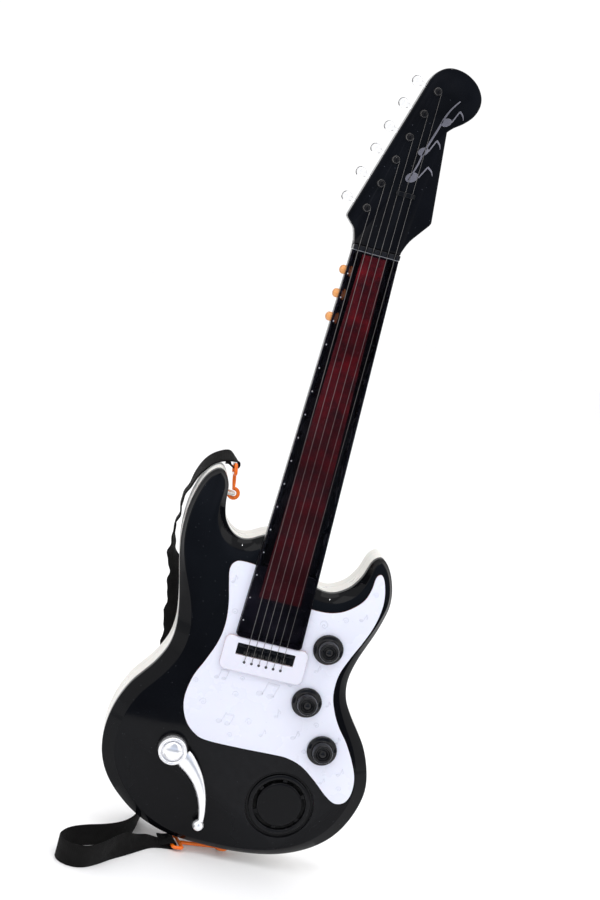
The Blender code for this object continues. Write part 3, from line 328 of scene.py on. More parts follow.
def slab(name, loop, y_front, y_back, front=0.5, back=0.1, steps=4):
    """Flat moulding with rounded edges of the given radii at its front and back."""
    return skin(name, slab_rings([Vector(p) for p in loop], y_front, y_back, front, back, steps))


def plug(loop, y_front, y_back):
    """Straight sided cutter of the given outline."""
    return slab("c", loop, y_front, y_back, 0.0, 0.0, 1)


def rounded_rectangle(x0, x1, z0, z1, radius, steps=8):
    loop = []
    for cx, cz, start in ((x1 - radius, z1 - radius, 0), (x0 + radius, z1 - radius, 90),
                          (x0 + radius, z0 + radius, 180), (x1 - radius, z0 + radius, 270)):
        for s in range(steps + 1):
            a = math.radians(start + 90 * s / steps)
            loop.append(Vector((cx + radius * math.cos(a), cz + radius * math.sin(a))))
    return loop


def block(name, x0, x1, y0, y1, z0, z1):
    bm = bmesh.new()
    size = Matrix.Diagonal(((x1 - x0) * MM, (y1 - y0) * MM, (z1 - z0) * MM, 1.0))
    centre = Matrix.Translation(place((x0 + x1) / 2, (y0 + y1) / 2, (z0 + z1) / 2))
    bmesh.ops.create_cube(bm, size=1.0, matrix=centre @ size)
    return mesh_object(name, bm)


def rod(name, start, end, radius, segments=48):
    bm = bmesh.new()
    run = end - start
    matrix = Matrix.Translation((start + end) / 2) @ run.to_track_quat('Z', 'Y').to_matrix().to_4x4()
    bmesh.ops.create_cone(bm, cap_ends=True, segments=segments, radius1=radius * MM,
                          radius2=radius * MM, depth=run.length, matrix=matrix)
    return mesh_object(name, bm)


def turned(name, profile, pivot, axis, steps=64, soft=0.25, turn=None, narrow=1.0):
    """Turned piece: profile is (radius, height) from its top down; soft rounds its edges."""
    matrix = (turn or axis.to_track_quat('Z', 'Y').to_matrix()).to_4x4()
    matrix = Matrix.Translation(pivot) @ matrix
    bm = bmesh.new()
    rows = []
    for r, h in profile:
        if r == 0:
            rows.append([bm.verts.new(matrix @ Vector((0, 0, h * MM)))])
            continue
        ring = []
        for k in range(steps):
            a = 2 * math.pi * k / steps
            ring.append(bm.verts.new(matrix @ (Vector((r * math.cos(a) * narrow, r * math.sin(a), h)) * MM)))
        rows.append(ring)
    for a, b in zip(rows, rows[1:]):
        for k in range(steps):
            j = (k + 1) % steps
            ring = [a[k % len(a)], a[j % len(a)], b[j % len(b)], b[k % len(b)]]
            ring = [v for i, v in enumerate(ring) if v not in ring[:i]]
            if len(ring) > 2:
                bm.faces.new(ring)
    ob = mesh_object(name, bm)
    if soft:
        soften(ob, soft, 2, 25.0)
    return shade(ob, 50.0)


def tube(name, points, radius, cyclic=False, resolution=5):
    """Round wire as a mesh; the radius may differ from point to point."""
    curve = bpy.data.curves.new(name, 'CURVE')
    curve.dimensions = '3D'
    curve.bevel_depth = 1.0
    curve.bevel_resolution = resolution
    curve.use_fill_caps = True
    spline = curve.splines.new('POLY')
    spline.points.add(len(points) - 1)
    for i, (point, p) in enumerate(zip(spline.points, points)):
        point.co = (*p, 1.0)
        point.radius = radius[i] if isinstance(radius, (list, tuple)) else radius
    spline.use_cyclic_u = cyclic
    ob = bpy.data.objects.new(name, curve)
    bpy.context.scene.collection.objects.link(ob)
    bpy.context.view_layer.update()
    data = bpy.data.meshes.new_from_object(ob.evaluated_get(bpy.context.evaluated_depsgraph_get()))
    bpy.data.objects.remove(ob, do_unlink=True)
    bm = bmesh.new()
    bm.from_mesh(data)
    bmesh.ops.remove_doubles(bm, verts=bm.verts[:], dist=1e-6)
    bpy.data.meshes.remove(data)
    return shade(mesh_object(name, bm), 40.0)


def stroke(points, widths):
    """Closed outline of a pen stroke through (x, z) points, with a half width at each."""
    pts = [Vector(p) for p in points]
    left, right = [], []
    for i, p in enumerate(pts):
        run = pts[min(i + 1, len(pts) - 1)] - pts[max(i - 1, 0)]
        side = Vector((-run.y, run.x)).normalized() * widths[i]
        left.append(p + side)
        right.append(p - side)
    return left + right[::-1]


def ellipse(x, z, half_long, half_short, tilt, count=20):
    c, s = math.cos(math.radians(tilt)), math.sin(math.radians(tilt))
    loop = []
    for k in range(count):
        u = half_long * math.cos(2 * math.pi * k / count)
        v = half_short * math.sin(2 * math.pi * k / count)
        loop.append(Vector((x + u * c - v * s, z + u * s + v * c)))
    return loop


def relief(name, loops, y_front, y_back, edge):
    """Several low raised shapes as one mesh."""
    bm = bmesh.new()
    for loop in loops:
        front = slab_rings(loop, y_front, y_back, edge, 0.0, 2)[:4]
        rows = [[bm.verts.new(p) for p in ring] for ring in front]
        rows.append([bm.verts.new(p) for p in section(loop, y_back)])
        for a, b in zip(rows, rows[1:]):
            for i in range(len(loop)):
                j = (i + 1) % len(loop)
                bm.faces.new((a[i], a[j], b[j], b[i]))
        bm.faces.new(rows[0])
        bm.faces.new(rows[-1][::-1])
    bmesh.ops.remove_doubles(bm, verts=bm.verts[:], dist=1e-7)
    return shade(mesh_object(name, bm), 50.0)


def settle(ob, body, slot, material, *stands_for):
    """Give a finished piece its material and its body, and hide the nodes it stands for; the slot is not
    used.
    """
    ob.data.materials.clear()
    ob.data.materials.append(material)
    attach(ob, body)
    if stands_for:
        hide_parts(*stands_for)
    return ob


# ---------------------------------------------------------------- finishes

class Tree:
    """Short hand for adding and linking nodes."""

    def __init__(self, tree):
        self.tree = tree

    def add(self, kind, values=(), **settings):
        made = self.tree.nodes.new(kind)
        for name, value in settings.items():
            setattr(made, name, value)
        for name, value in dict(values).items():
            socket = made.inputs[name]
            if isinstance(value, bpy.types.NodeSocket):
                self.tree.links.new(value, socket)
            else:
                socket.default_value = value
        return made

    def maths(self, operation, a, b=0.0):
        return self.add("ShaderNodeMath", {0: a, 1: b}, operation=operation).outputs[0]

    def spread(self, value, low, high, to_low=0.0, to_high=1.0):
        return self.add("ShaderNodeMapRange", {"Value": value, "From Min": low, "From Max": high,
                                               "To Min": to_low, "To Max": to_high}).outputs[0]

    def blend(self, mask, a, b):
        made = self.add("ShaderNodeMix", data_type='RGBA')
        for socket, value in ((made.inputs[0], mask), (made.inputs[6], a), (made.inputs[7], b)):
            if isinstance(value, bpy.types.NodeSocket):
                self.tree.links.new(value, socket)
            else:
                socket.default_value = value
        return made.outputs[2]


def effect(name, inputs, output, build):
    """A shared shader group with float inputs and one output that varies over the surface."""
    if name in bpy.data.node_groups:
        return bpy.data.node_groups[name]
    group = bpy.data.node_groups.new(name, 'ShaderNodeTree')
    for socket, value in inputs:
        made = group.interface.new_socket(name=socket, in_out='INPUT', socket_type='NodeSocketFloat')
        made.default_value = value
    group.interface.new_socket(name=output, in_out='OUTPUT', socket_type='NodeSocketFloat')
    tree = Tree(group)
    start = group.nodes.new("NodeGroupInput")
    end = group.nodes.new("NodeGroupOutput")
    group.links.new(build(tree, start.outputs), end.inputs[output])
    return group


def noise(tree, scale, detail=3.0, rough=0.5, vector=None):
    place_of = vector or tree.add("ShaderNodeTexCoord").outputs["Object"]
    return tree.add("ShaderNodeTexNoise", {"Vector": place_of, "Scale": scale, "Detail": detail,
                                           "Roughness": rough}).outputs[0]


def smudges():
    """Roughness that wanders as on handled gloss plastic."""
    def build(tree, inputs):
        return tree.spread(noise(tree, inputs["Scale"], 4.0, 0.6), 0.35, 0.68, inputs["Low"],
                           inputs["High"])
    return effect("Handling Smudges", (("Scale", 40.0), ("Low", 0.1), ("High", 0.2)), "Roughness", build)


def waviness():
    """Slow unevenness of thin moulded plastic with a fine grain on it."""
    def build(tree, inputs):
        slow = noise(tree, inputs["Wave Scale"], 1.0)
        fine = noise(tree, inputs["Grain Scale"], 2.0)
        return tree.maths('ADD', slow, tree.maths('MULTIPLY', fine, inputs["Grain"]))
    return effect("Moulded Surface", (("Wave Scale", 12.0), ("Grain Scale", 900.0), ("Grain", 0.05)),
                  "Height", build)


def dust_and_glints():
    """Scattered specks: dust, and on the dark plastics painted glints."""
    def build(tree, inputs):
        spot = tree.add("ShaderNodeTexVoronoi", {"Vector": tree.add("ShaderNodeTexCoord").outputs["Object"],
                                                 "Scale": inputs["Scale"]})
        near = tree.spread(spot.outputs["Distance"], 0.05, 0.09, 1.0, 0.0)
        chosen = tree.maths('LESS_THAN', noise(tree, inputs["Scale"], 0.0), inputs["Share"])
        return tree.maths('MULTIPLY', near, chosen)
    return effect("Dust And Glint Specks", (("Scale", 260.0), ("Share", 0.4)), "Mask", build)


def edge_wear():
    """Where edges and corners are rubbed lighter."""
    def build(tree, inputs):
        point = tree.add("ShaderNodeNewGeometry").outputs["Pointiness"]
        edge = tree.spread(point, inputs["Start"], inputs["End"])
        return tree.maths('MULTIPLY', edge, noise(tree, 160.0, 3.0))
    return effect("Rubbed Edges", (("Start", 0.52), ("End", 0.6)), "Mask", build)


def weave():
    """Ribs of webbing over its own length and width."""
    def build(tree, inputs):
        uv = tree.add("ShaderNodeUVMap", uv_map="webbing_uv").outputs["UV"]
        split = tree.add("ShaderNodeSeparateXYZ", {"Vector": uv})
        across = tree.maths('MULTIPLY', split.outputs[0], inputs["Ribs"])
        along = tree.maths('MULTIPLY', split.outputs[1], inputs["Picks"])
        rib = tree.maths('SINE', tree.maths('MULTIPLY', across, math.pi))
        pick = tree.maths('SINE', tree.maths('MULTIPLY', along, math.pi))
        return tree.spread(tree.maths('MULTIPLY', rib, pick), -1.0, 1.0)
    return effect("Webbing Weave", (("Ribs", 26.0), ("Picks", 620.0)), "Height", build)


def place_group(tree, group, **values):
    made = tree.add("ShaderNodeGroup")
    made.node_tree = group
    for name, value in values.items():
        made.inputs[name.replace("_", " ")].default_value = value
    return made.outputs[0]


def rgba(colour):
    return (*colour[:3], 1.0)


def new_material(name):
    """A material with a bare Principled shader: its tree and the shader."""
    material = bpy.data.materials.new(name)
    material.use_nodes = True
    shader = material.node_tree.nodes["Principled BSDF"]
    return material, Tree(material.node_tree), shader


def moulded(name, colour, tint=None, gloss=(0.1, 0.2), smudge=30.0, wave=(10.0, 0.05), grain=0.03,
            specks=0.0, speck_colour=(0.3, 0.3, 0.32), rubbed=0.0, rubbed_colour=(0.6, 0.6, 0.6),
            specular=0.5, transmission=0.0, metallic=0.0, sub=0.0, side=None, coat=0.0, ior=1.5):
    """A moulded plastic: two close colours, wandering gloss, uneven surface, specks of dust and painted
    glints, rubbed edges, and painted shade on faces turned sideways.
    """
    material, tree, shader = new_material(name)
    tint = tint or tuple(min(1.0, c * 1.12) for c in colour[:3])
    base = tree.blend(tree.spread(noise(tree, 14.0, 4.0), 0.35, 0.65), rgba(colour), rgba(tint))
    # Specks: dust, and on the dark plastics painted glints.
    if specks:
        base = tree.blend(place_group(tree, dust_and_glints(), Scale=specks, Share=0.42), base, rgba(speck_colour))
    if rubbed:
        worn = tree.maths('MULTIPLY', place_group(tree, edge_wear()), rubbed)
        base = tree.blend(worn, base, rgba(rubbed_colour))
    # Faces turned sideways take the side colour: painted shade along the piece's edges.
    if side:
        facing = tree.add("ShaderNodeSeparateXYZ",
                          {"Vector": tree.add("ShaderNodeTexCoord").outputs["Normal"]}).outputs[1]
        base = tree.blend(tree.spread(facing, -0.55, -0.2), base, rgba(side))
    link = tree.tree.links.new
    link(base, shader.inputs["Base Color"])
    link(place_group(tree, smudges(), Scale=smudge, Low=gloss[0], High=gloss[1]), shader.inputs["Roughness"])
    height = place_group(tree, waviness(), Wave_Scale=wave[0], Grain=grain)
    bump = tree.add("ShaderNodeBump", {"Strength": wave[1], "Distance": 0.002, "Height": height})
    link(bump.outputs[0], shader.inputs["Normal"])
    shader.inputs["Specular IOR Level"].default_value = specular
    shader.inputs["Metallic"].default_value = metallic
    shader.inputs["Transmission Weight"].default_value = transmission
    shader.inputs["Coat Weight"].default_value = coat
    shader.inputs["IOR"].default_value = ior
    if sub:
        shader.inputs["Subsurface Weight"].default_value = sub
        shader.inputs["Subsurface Scale"].default_value = 0.004
    return material


def window_material():
    """Red diffuser with uneven patches and faint cross lines at the lamps, glowing with painted light though
    its lamps are off.
    """
    material, tree, shader = new_material("Red Light Window")
    red = colours().window
    where = tree.add("ShaderNodeTexCoord").outputs["Object"]
    patches = tree.spread(noise(tree, 75.0, 5.0, 0.7), 0.36, 0.64)
    lamps = tree.add("ShaderNodeTexWave", {"Vector": where, "Scale": 8.4, "Distortion": 1.5,
                                           "Detail": 2.0}, bands_direction='Z').outputs[1]
    height = tree.add("ShaderNodeSeparateXYZ", {"Vector": where}).outputs[2]
    fade = tree.spread(height, -0.29, -0.02, 0.14, 0.95)
    lines = tree.add("ShaderNodeTexWave", {"Vector": where, "Scale": 52.0, "Distortion": 0.6},
                     bands_direction='Z').outputs[1]
    painted_glow = tree.maths('MULTIPLY', tree.spread(lamps, 0.0, 1.0, 0.5, 1.0),
                     tree.spread(lines, 0.0, 1.0, 0.75, 1.0))
    mask = tree.maths('MULTIPLY', tree.maths('MULTIPLY', patches, painted_glow), fade)
    dark = tuple(c * 0.12 for c in red)
    link = tree.tree.links.new
    colour = tree.blend(mask, rgba(dark), rgba(red))
    link(colour, shader.inputs["Base Color"])
    # The emission is painted light: the window glows so that its red shows through the smoky panel.
    link(colour, shader.inputs["Emission Color"])
    shader.inputs["Emission Strength"].default_value = 1.3
    link(place_group(tree, smudges(), Scale=60.0, Low=0.3, High=0.5), shader.inputs["Roughness"])
    bump = tree.add("ShaderNodeBump", {"Strength": 0.4, "Distance": 0.001, "Height": noise(tree, 300.0)})
    link(bump.outputs[0], shader.inputs["Normal"])
    return material


def webbing_material():
    material, tree, shader = new_material("Black Webbing")
    height = place_group(tree, weave())
    fuzz = noise(tree, 1400.0, 3.0)
    black = colours().webbing
    worn = tuple(c * 2.5 + 0.003 for c in black)
    link = tree.tree.links.new
    link(tree.blend(tree.maths('MULTIPLY', height, fuzz), rgba(black), rgba(worn)),
         shader.inputs["Base Color"])
    link(place_group(tree, smudges(), Scale=90.0, Low=0.75, High=0.95), shader.inputs["Roughness"])
    total = tree.maths('ADD', height, tree.maths('MULTIPLY', fuzz, 0.5))
    bump = tree.add("ShaderNodeBump", {"Strength": 0.8, "Distance": 0.0004, "Height": total})
    link(bump.outputs[0], shader.inputs["Normal"])
    shader.inputs["Specular IOR Level"].default_value = 0.12
    shader.inputs["Sheen Weight"].default_value = 0.02
    shader.inputs["Sheen Roughness"].default_value = 0.5
    return material


def make_materials():
    c = colours()
    black = tuple(c.shell)
    return {
        "shell": moulded("Front Cover Plastic", black, (0.0032, 0.0035, 0.0046), (0.045, 0.1), 22.0,
                         (7.0, 0.03), 0.004, 330.0, (0.07, 0.075, 0.085), 0.12, (0.08, 0.08, 0.09),
                         0.13),
        "black": moulded("Black Gloss Plastic", black, None, (0.08, 0.18), 60.0, (20.0, 0.05), 0.01,
                         420.0, (0.08, 0.08, 0.09), 0.15, (0.1, 0.1, 0.11), 0.22),
        "head": moulded("Headstock Plastic", (0.0022, 0.0023, 0.003), (0.004, 0.0045, 0.0065),
                        (0.06, 0.16), 45.0, (26.0, 0.3), 0.01, 300.0, (0.1, 0.11, 0.14), 0.2,
                        (0.1, 0.1, 0.11), 0.13),
        "white": moulded("White Plastic", tuple(c.sides), (0.67, 0.65, 0.61), (0.25, 0.38), 30.0,
                         (12.0, 0.04), 0.04, sub=0.05),
        "white_back": moulded("White Back Plastic", tuple(c.sides), (0.67, 0.65, 0.61), (0.3, 0.45),
                              26.0, (10.0, 0.05), 0.12, sub=0.05),
        # The pickguard's brownish side colour is painted shade at its edge.
        "guard": moulded("Pickguard Plastic", tuple(c.guard), (0.725, 0.74, 0.85), (0.2, 0.34), 24.0,
                         (9.0, 0.04), 0.02, 200.0, (0.63, 0.63, 0.73), sub=0.05,
                         side=(0.34, 0.2, 0.17)),
        # The notes are the pickguard's own moulding; their colour, 0.86 of the pickguard's, is painted shade
        # that makes them show.
        "relief": moulded("Pickguard Relief", tuple(v * 0.86 for v in c.guard), None, (0.12, 0.22), 60.0,
                          (30.0, 0.05), 0.02),
        # The bridge's darker side colour is painted shade at its edge.
        "bridge": moulded("Bridge Plastic", (0.69, 0.69, 0.79), (0.71, 0.71, 0.81), (0.18, 0.3), 30.0,
                          (16.0, 0.04), 0.02, sub=0.05, side=(0.6, 0.5, 0.52)),
        "string": moulded("String Steel", (0.13, 0.125, 0.12), (0.24, 0.23, 0.22), (0.28, 0.42), 300.0,
                          (700.0, 0.3), 0.3, metallic=1.0),
        # The neck's bluish tint, several times its base colour, mottles it with painted reflection patches.
        "neck": moulded("Neck Plastic", (0.004, 0.004, 0.005), (0.022, 0.02, 0.028), (0.2, 0.34), 50.0,
                        (15.0, 0.05), 0.05, 300.0, (0.08, 0.08, 0.09), 0.2, (0.1, 0.1, 0.11), 0.2),
        "smoke": moulded("Smoky Panel", (0.36, 0.31, 0.35), (0.52, 0.47, 0.53), (0.02, 0.07), 30.0,
                         (34.0, 0.3), 0.004, transmission=1.0, ior=1.15),
        "window": window_material(),
        "board": moulded("Circuit Board", (0.02, 0.13, 0.05), (0.03, 0.2, 0.08), (0.3, 0.5), 80.0,
                         (60.0, 0.1), 0.1),
        # The notes' grey, far lighter than the headstock, is partly their own colour and partly painted sheen
        # of their shiny raised faces.
        "ornament": moulded("Ornament Plastic", (0.05, 0.05, 0.065), (0.2, 0.2, 0.245), (0.14, 0.3),
                            90.0, (60.0, 0.1), 0.05, rubbed=0.3, rubbed_colour=(0.3, 0.3, 0.34)),
        "post": moulded("Post Plastic", (0.003, 0.003, 0.004), (0.005, 0.005, 0.007), (0.04, 0.09), 120.0,
                        (60.0, 0.05), 0.02, rubbed=0.2, rubbed_colour=(0.12, 0.12, 0.13),
                        specular=0.11),
        "clear": moulded("Clear Plastic", (0.97, 0.975, 0.985), (0.99, 0.99, 1.0), (0.01, 0.05), 80.0,
                         (60.0, 0.05), 0.01, transmission=1.0),
        "knob": moulded("Knob Plastic", (0.003, 0.003, 0.004), (0.006, 0.006, 0.007), (0.04, 0.09), 90.0,
                        (40.0, 0.05), 0.02, 500.0, (0.05, 0.05, 0.06), 0.2, (0.06, 0.06, 0.07), 0.3),
        "orange": moulded("Orange Plastic", tuple(c.orange), (1.0, 0.24, 0.015), (0.06, 0.14), 90.0,
                          (60.0, 0.08), 0.02, transmission=0.08),
        "button": moulded("Button Plastic", (1.0, 0.3, 0.06), (1.0, 0.48, 0.16), (0.04, 0.1), 160.0,
                          (60.0, 0.08), 0.02, transmission=0.5),
        "silver": moulded("Silver Plating", tuple(c.silver), (0.97, 0.97, 0.98), (0.14, 0.2), 60.0,
                          (14.0, 0.02), 0.004, metallic=0.7),
        "grille": moulded("Grille Plastic", black, None, (0.1, 0.2), 60.0, (20.0, 0.04), 0.02, 400.0,
                          (0.07, 0.07, 0.08), 0.2, (0.1, 0.1, 0.11), 0.14),
        "paper": moulded("Speaker Paper", (0.02, 0.02, 0.02), (0.035, 0.034, 0.033), (0.7, 0.9), 60.0,
                         (90.0, 0.3), 0.5),
        "webbing": webbing_material(),
        "thread": moulded("Strap Thread", (0.006, 0.006, 0.006), (0.014, 0.014, 0.015), (0.6, 0.8), 200.0,
                          (300.0, 0.3), 0.3, specular=0.15),
        "tray": moulded("Battery Tray Plastic", (0.02, 0.02, 0.021), None, (0.4, 0.55), 50.0, (20.0, 0.1),
                        0.2),
        "cell": moulded("Battery Wrap", (0.05, 0.08, 0.22), (0.09, 0.13, 0.3), (0.2, 0.35), 60.0,
                        (20.0, 0.05), 0.02, coat=0.3),
        "screw": moulded("Screw Steel", (0.5, 0.5, 0.5), (0.62, 0.62, 0.61), (0.25, 0.4), 200.0,
                         (100.0, 0.1), 0.1, metallic=1.0),
    }


MATERIALS = {}


def finish(name):
    if not MATERIALS:
        MATERIALS.update(make_materials())
    return MATERIALS[name]


# ---------------------------------------------------------------- body

def neck_half(z):
    return NECK_HALF_END + (NECK_HALF_TOP - NECK_HALF_END) * (z - NECK_END) / (NECK_TOP - NECK_END)


def neck_outer(z, extra=0.0, steps=3):
    """Half round section of the neck's back at one height, from the left edge to the right."""
    w, deep = neck_half(z) + extra, NECK_DEPTH + extra
    shape = ((-1.0, 0.12), (-0.97, 0.42), (-0.86, 0.70), (-0.62, 0.90), (-0.32, 0.98), (0.0, 1.0),
             (0.32, 0.98), (0.62, 0.90), (0.86, 0.70), (0.97, 0.42), (1.0, 0.12))
    return [(p.x * w, p.y * deep) for p in smooth_line(shape, steps)]


def neck_pocket():
    rings = []
    for z in (TONGUE_Z - GAP, 320.0):
        w = neck_half(z) + GAP
        rings.append([place(x, y, z) for x, y in [(-w, -12.0)] + neck_outer(z, GAP) + [(w, -12.0)]])
    return skin("pocket_cutter", rings)


def fine(rings):
    return [smooth_loop(ring, LOOP_STEPS) for ring in rings]


def build_front_shell(loop):
    rings = fine([
        section(inset(loop, lambda p: p.z + 0.8), 0.0),
        section(inset(loop, lambda p: p.z + 0.15), 0.05),
        section(inset(loop, lambda p: max(p.z - 0.5, 0.7)), 0.38),
        section(inset(loop, 0.55), 5.05), section(inset(loop, 0.12), 5.6),
        section(loop, 6.3), section(loop, FRONT_DEPTH - 0.35),
        section(inset(loop, 0.3), FRONT_DEPTH), section(inset(loop, WALL), FRONT_DEPTH),
        section(inset(loop, WALL), 7.5), section(inset(loop, lambda p: p.z + WALL), FACE_WALL)])
    shell = skin("front_shell", rings)
    x, z = SPEAKER
    tools = [neck_pocket(), rod("c", place(x, -5, z), place(x, 9, z), SPEAKER_RADIUS + GAP, 96)]
    tools += [rod("c", place(x, -5, z), place(x, 9, z), SHAFT_RADIUS + GAP, 24)
              for x, z in (*KNOBS, HUB)]
    settle(shade(cut(shell, tools), 20.0), "guitar", "front_shell_plastic", finish("shell"),
           "body_front_shell")


def build_mid_frame(loop):
    first, last = FRONT_DEPTH + GAP, MID_BACK
    rings = fine([
        section(inset(loop, 0.35), first), section(inset(loop, 0.05), first + 0.3),
        section(loop, first + 0.7), section(loop, last - 0.7), section(inset(loop, 0.05), last - 0.3),
        section(inset(loop, 0.35), last), section(inset(loop, WALL), last),
        section(inset(loop, WALL), first)])
    mid = cut(skin("mid_frame", rings, closed=True), [neck_pocket()])
    settle(shade(mid, 40.0), "guitar", "white_plastic", finish("white"), "body_mid_frame")
    profile = ((0, 7.5), (2.9, 7.5), (3.4, 7.1), (3.4, 6.8), (2.8, 6.4), (2.2, 6.2), (2.2, 0.8),
               (3.0, 0.1), (3.0, -2.0), (0, -2.0))
    button = turned("tail_button", profile, place(10.0, 19.6, 0.0), Vector((0, 0, -1)), 40, 0.15)
    settle(button, "guitar", "white_plastic", finish("white"), "body_mid_frame")


def build_back_shell(loop):
    first, r = MID_BACK + GAP, BACK_ROUND
    outer = [section(inset(loop, 0.35), first), section(inset(loop, 0.05), first + 0.3),
             section(loop, first + 0.7), section(loop, BODY_BACK - r)]
    for k in range(1, 8):
        a = math.pi / 2 * k / 7
        outer.append(section(inset(loop, r * (1 - math.cos(a))), BODY_BACK - r + r * math.sin(a)))
    inner = [section(inset(loop, r + 1.0), BODY_BACK - WALL), section(inset(loop, WALL), BODY_BACK - r),
             section(inset(loop, WALL), first)]
    bm = bmesh.new()
    rows = [[bm.verts.new(p) for p in ring] for ring in fine(outer + inner)]
    sides = list(zip(rows[:len(outer)], rows[1:len(outer)]))
    sides += list(zip(rows[len(outer):], rows[len(outer) + 1:])) + [(rows[-1], rows[0])]
    for a, b in sides:
        for i in range(len(a)):
            j = (i + 1) % len(a)
            bm.faces.new((a[i], a[j], b[j], b[i]))
    bm.faces.new(rows[len(outer) - 1][::-1])
    bm.faces.new(rows[len(outer)])
    shell = mesh_object("back_shell", bm)
    x0, x1, (z0, z1) = -DOOR_X - GAP, DOOR_X + GAP, DOOR_Z
    recess = plug(rounded_rectangle(x0, x1, z0 - GAP, z1 + GAP, 2.3), BODY_BACK - 1.6, 60)
    room = plug(rounded_rectangle(x0 + 2.3, x1 - 2.3, z0 + 2, z1 - 2, 2), BODY_BACK - 8, 60)
    tools = [recess, room]
    for x, z in SCREWS:
        tools.append(rod("c", place(x, 41.0, z), place(x, 60, z), 3.4, 32))
    x, z = SWITCH
    tools.append(plug(rounded_rectangle(x - 2.4, x + 2.4, z - 6.4, z + 6.4, 0.8), 38, 50))
    settle(shade(cut(shell, tools), 20.0), "guitar", "white_back_plastic", finish("white_back"),
           "body_back_shell")
    line = ((-63.5, 33, 284), (-58.5, 33, 284), (-55.6, 33.5, 284), (-54.5, 35.5, 284),
            (-54.5, 39.5, 284), (-55.6, 41.5, 284), (-58.5, 42, 284), (-63.5, 42, 284))
    lug = tube("strap_lug", [place(*p) for p in smooth_line(line, 4)], 1.5 * MM)
    settle(lug, "guitar", "white_back_plastic", finish("white_back"), "body_back_shell")
    for i, (x, z) in enumerate(SCREWS):
        boss = ((0, 43.0 - 29.0), (5.2, 14.0), (5.2, 0.0), (0, 0.0))
        ring = turned(f"screw_boss_{i + 1}", boss, place(x, 29.0, z), REARWARD, 40, 0.3)
        bores = [rod("c", place(x, 20, z), place(x, 60, z), 1.7, 24),
                 rod("c", place(x, 41, z), place(x, 60, z), 3.4, 32)]
        settle(shade(cut(ring, bores), 40.0), "guitar", "white_back_plastic", finish("white_back"),
               "body_back_shell")


# ---------------------------------------------------------------- pickguard and bridge

def note_loops(x, z, tilt, size, kind):
    """Outlines of one small music note or curl, turned and scaled to its place."""
    if kind == "single":
        shapes = [ellipse(0, 0, 1.9, 1.4, 20),
                  stroke([(1.6, 0.2), (1.7, 3), (1.8, 7)], (0.3, 0.3, 0.3)),
                  stroke(smooth_line([(1.9, 6.9), (2.6, 5.6), (3.9, 4.6), (3.7, 2.9)], 4),
                         [0.42] * 12 + [0.15])]
    elif kind == "pair":
        shapes = [ellipse(0, 0, 1.9, 1.4, 20), ellipse(6, 1, 1.9, 1.4, 20),
                  stroke([(1.6, 0.2), (1.7, 3), (1.8, 6.4)], (0.3, 0.3, 0.3)),
                  stroke([(7.6, 1.2), (7.7, 4), (7.8, 7.4)], (0.3, 0.3, 0.3)),
                  stroke([(1.5, 6.9), (4.8, 7.5), (8.1, 8.1)], (0.6, 0.6, 0.6))]
    else:
        turns = []
        for k in range(22):
            a = math.radians(40 + 25 * k)
            r = 0.6 + 0.13 * k
            turns.append((r * math.cos(a), r * math.sin(a) + 0.07 * k))
        shapes = [stroke(turns, [0.3] * 22)]
    c, s = math.cos(math.radians(tilt)), math.sin(math.radians(tilt))
    return [[Vector((x + size * (p.x * c - p.y * s), z + size * (p.x * s + p.y * c))) for p in shape]
            for shape in shapes]


def build_pickguard():
    guard = slab("pickguard_plate", smooth_loop(GUARD_OUTLINE, 6), GUARD_FRONT, -GAP, 0.55, 0.1)
    w0, z0 = neck_half(NECK_END) + GAP, NECK_END - GAP
    w1, z1 = neck_half(300.0) + GAP, 300.0
    corner = [(w0 - 3 + 3 * math.sin(a), z0 + 3 - 3 * math.cos(a))
              for a in [math.pi / 2 * k / 6 for k in range(7)]]
    seat = corner + [(w1, z1), (-w1, z1)] + [(-x, z) for x, z in corner[::-1]]
    tools = [plug(seat, -6.0, 3.0)]
    tools += [rod("c", place(x, -6, z), place(x, 3, z), SHAFT_RADIUS + GAP, 24) for x, z in KNOBS]
    settle(shade(cut(guard, tools), 40.0), "guitar", "pickguard_white", finish("guard"), "pickguard")
    loops = [loop for note in NOTES for loop in note_loops(*note)]
    height = sizes().relief_height / MM
    notes = relief("pickguard_notes", loops, GUARD_FRONT - height, GUARD_FRONT + 0.02, 0.12)
    # The notes' darker finish is painted shade.
    settle(notes, "guitar", "pickguard_white", finish("relief"), "pickguard")


def string_x(index, pitch):
    return (index - (STRINGS - 1) / 2) * pitch


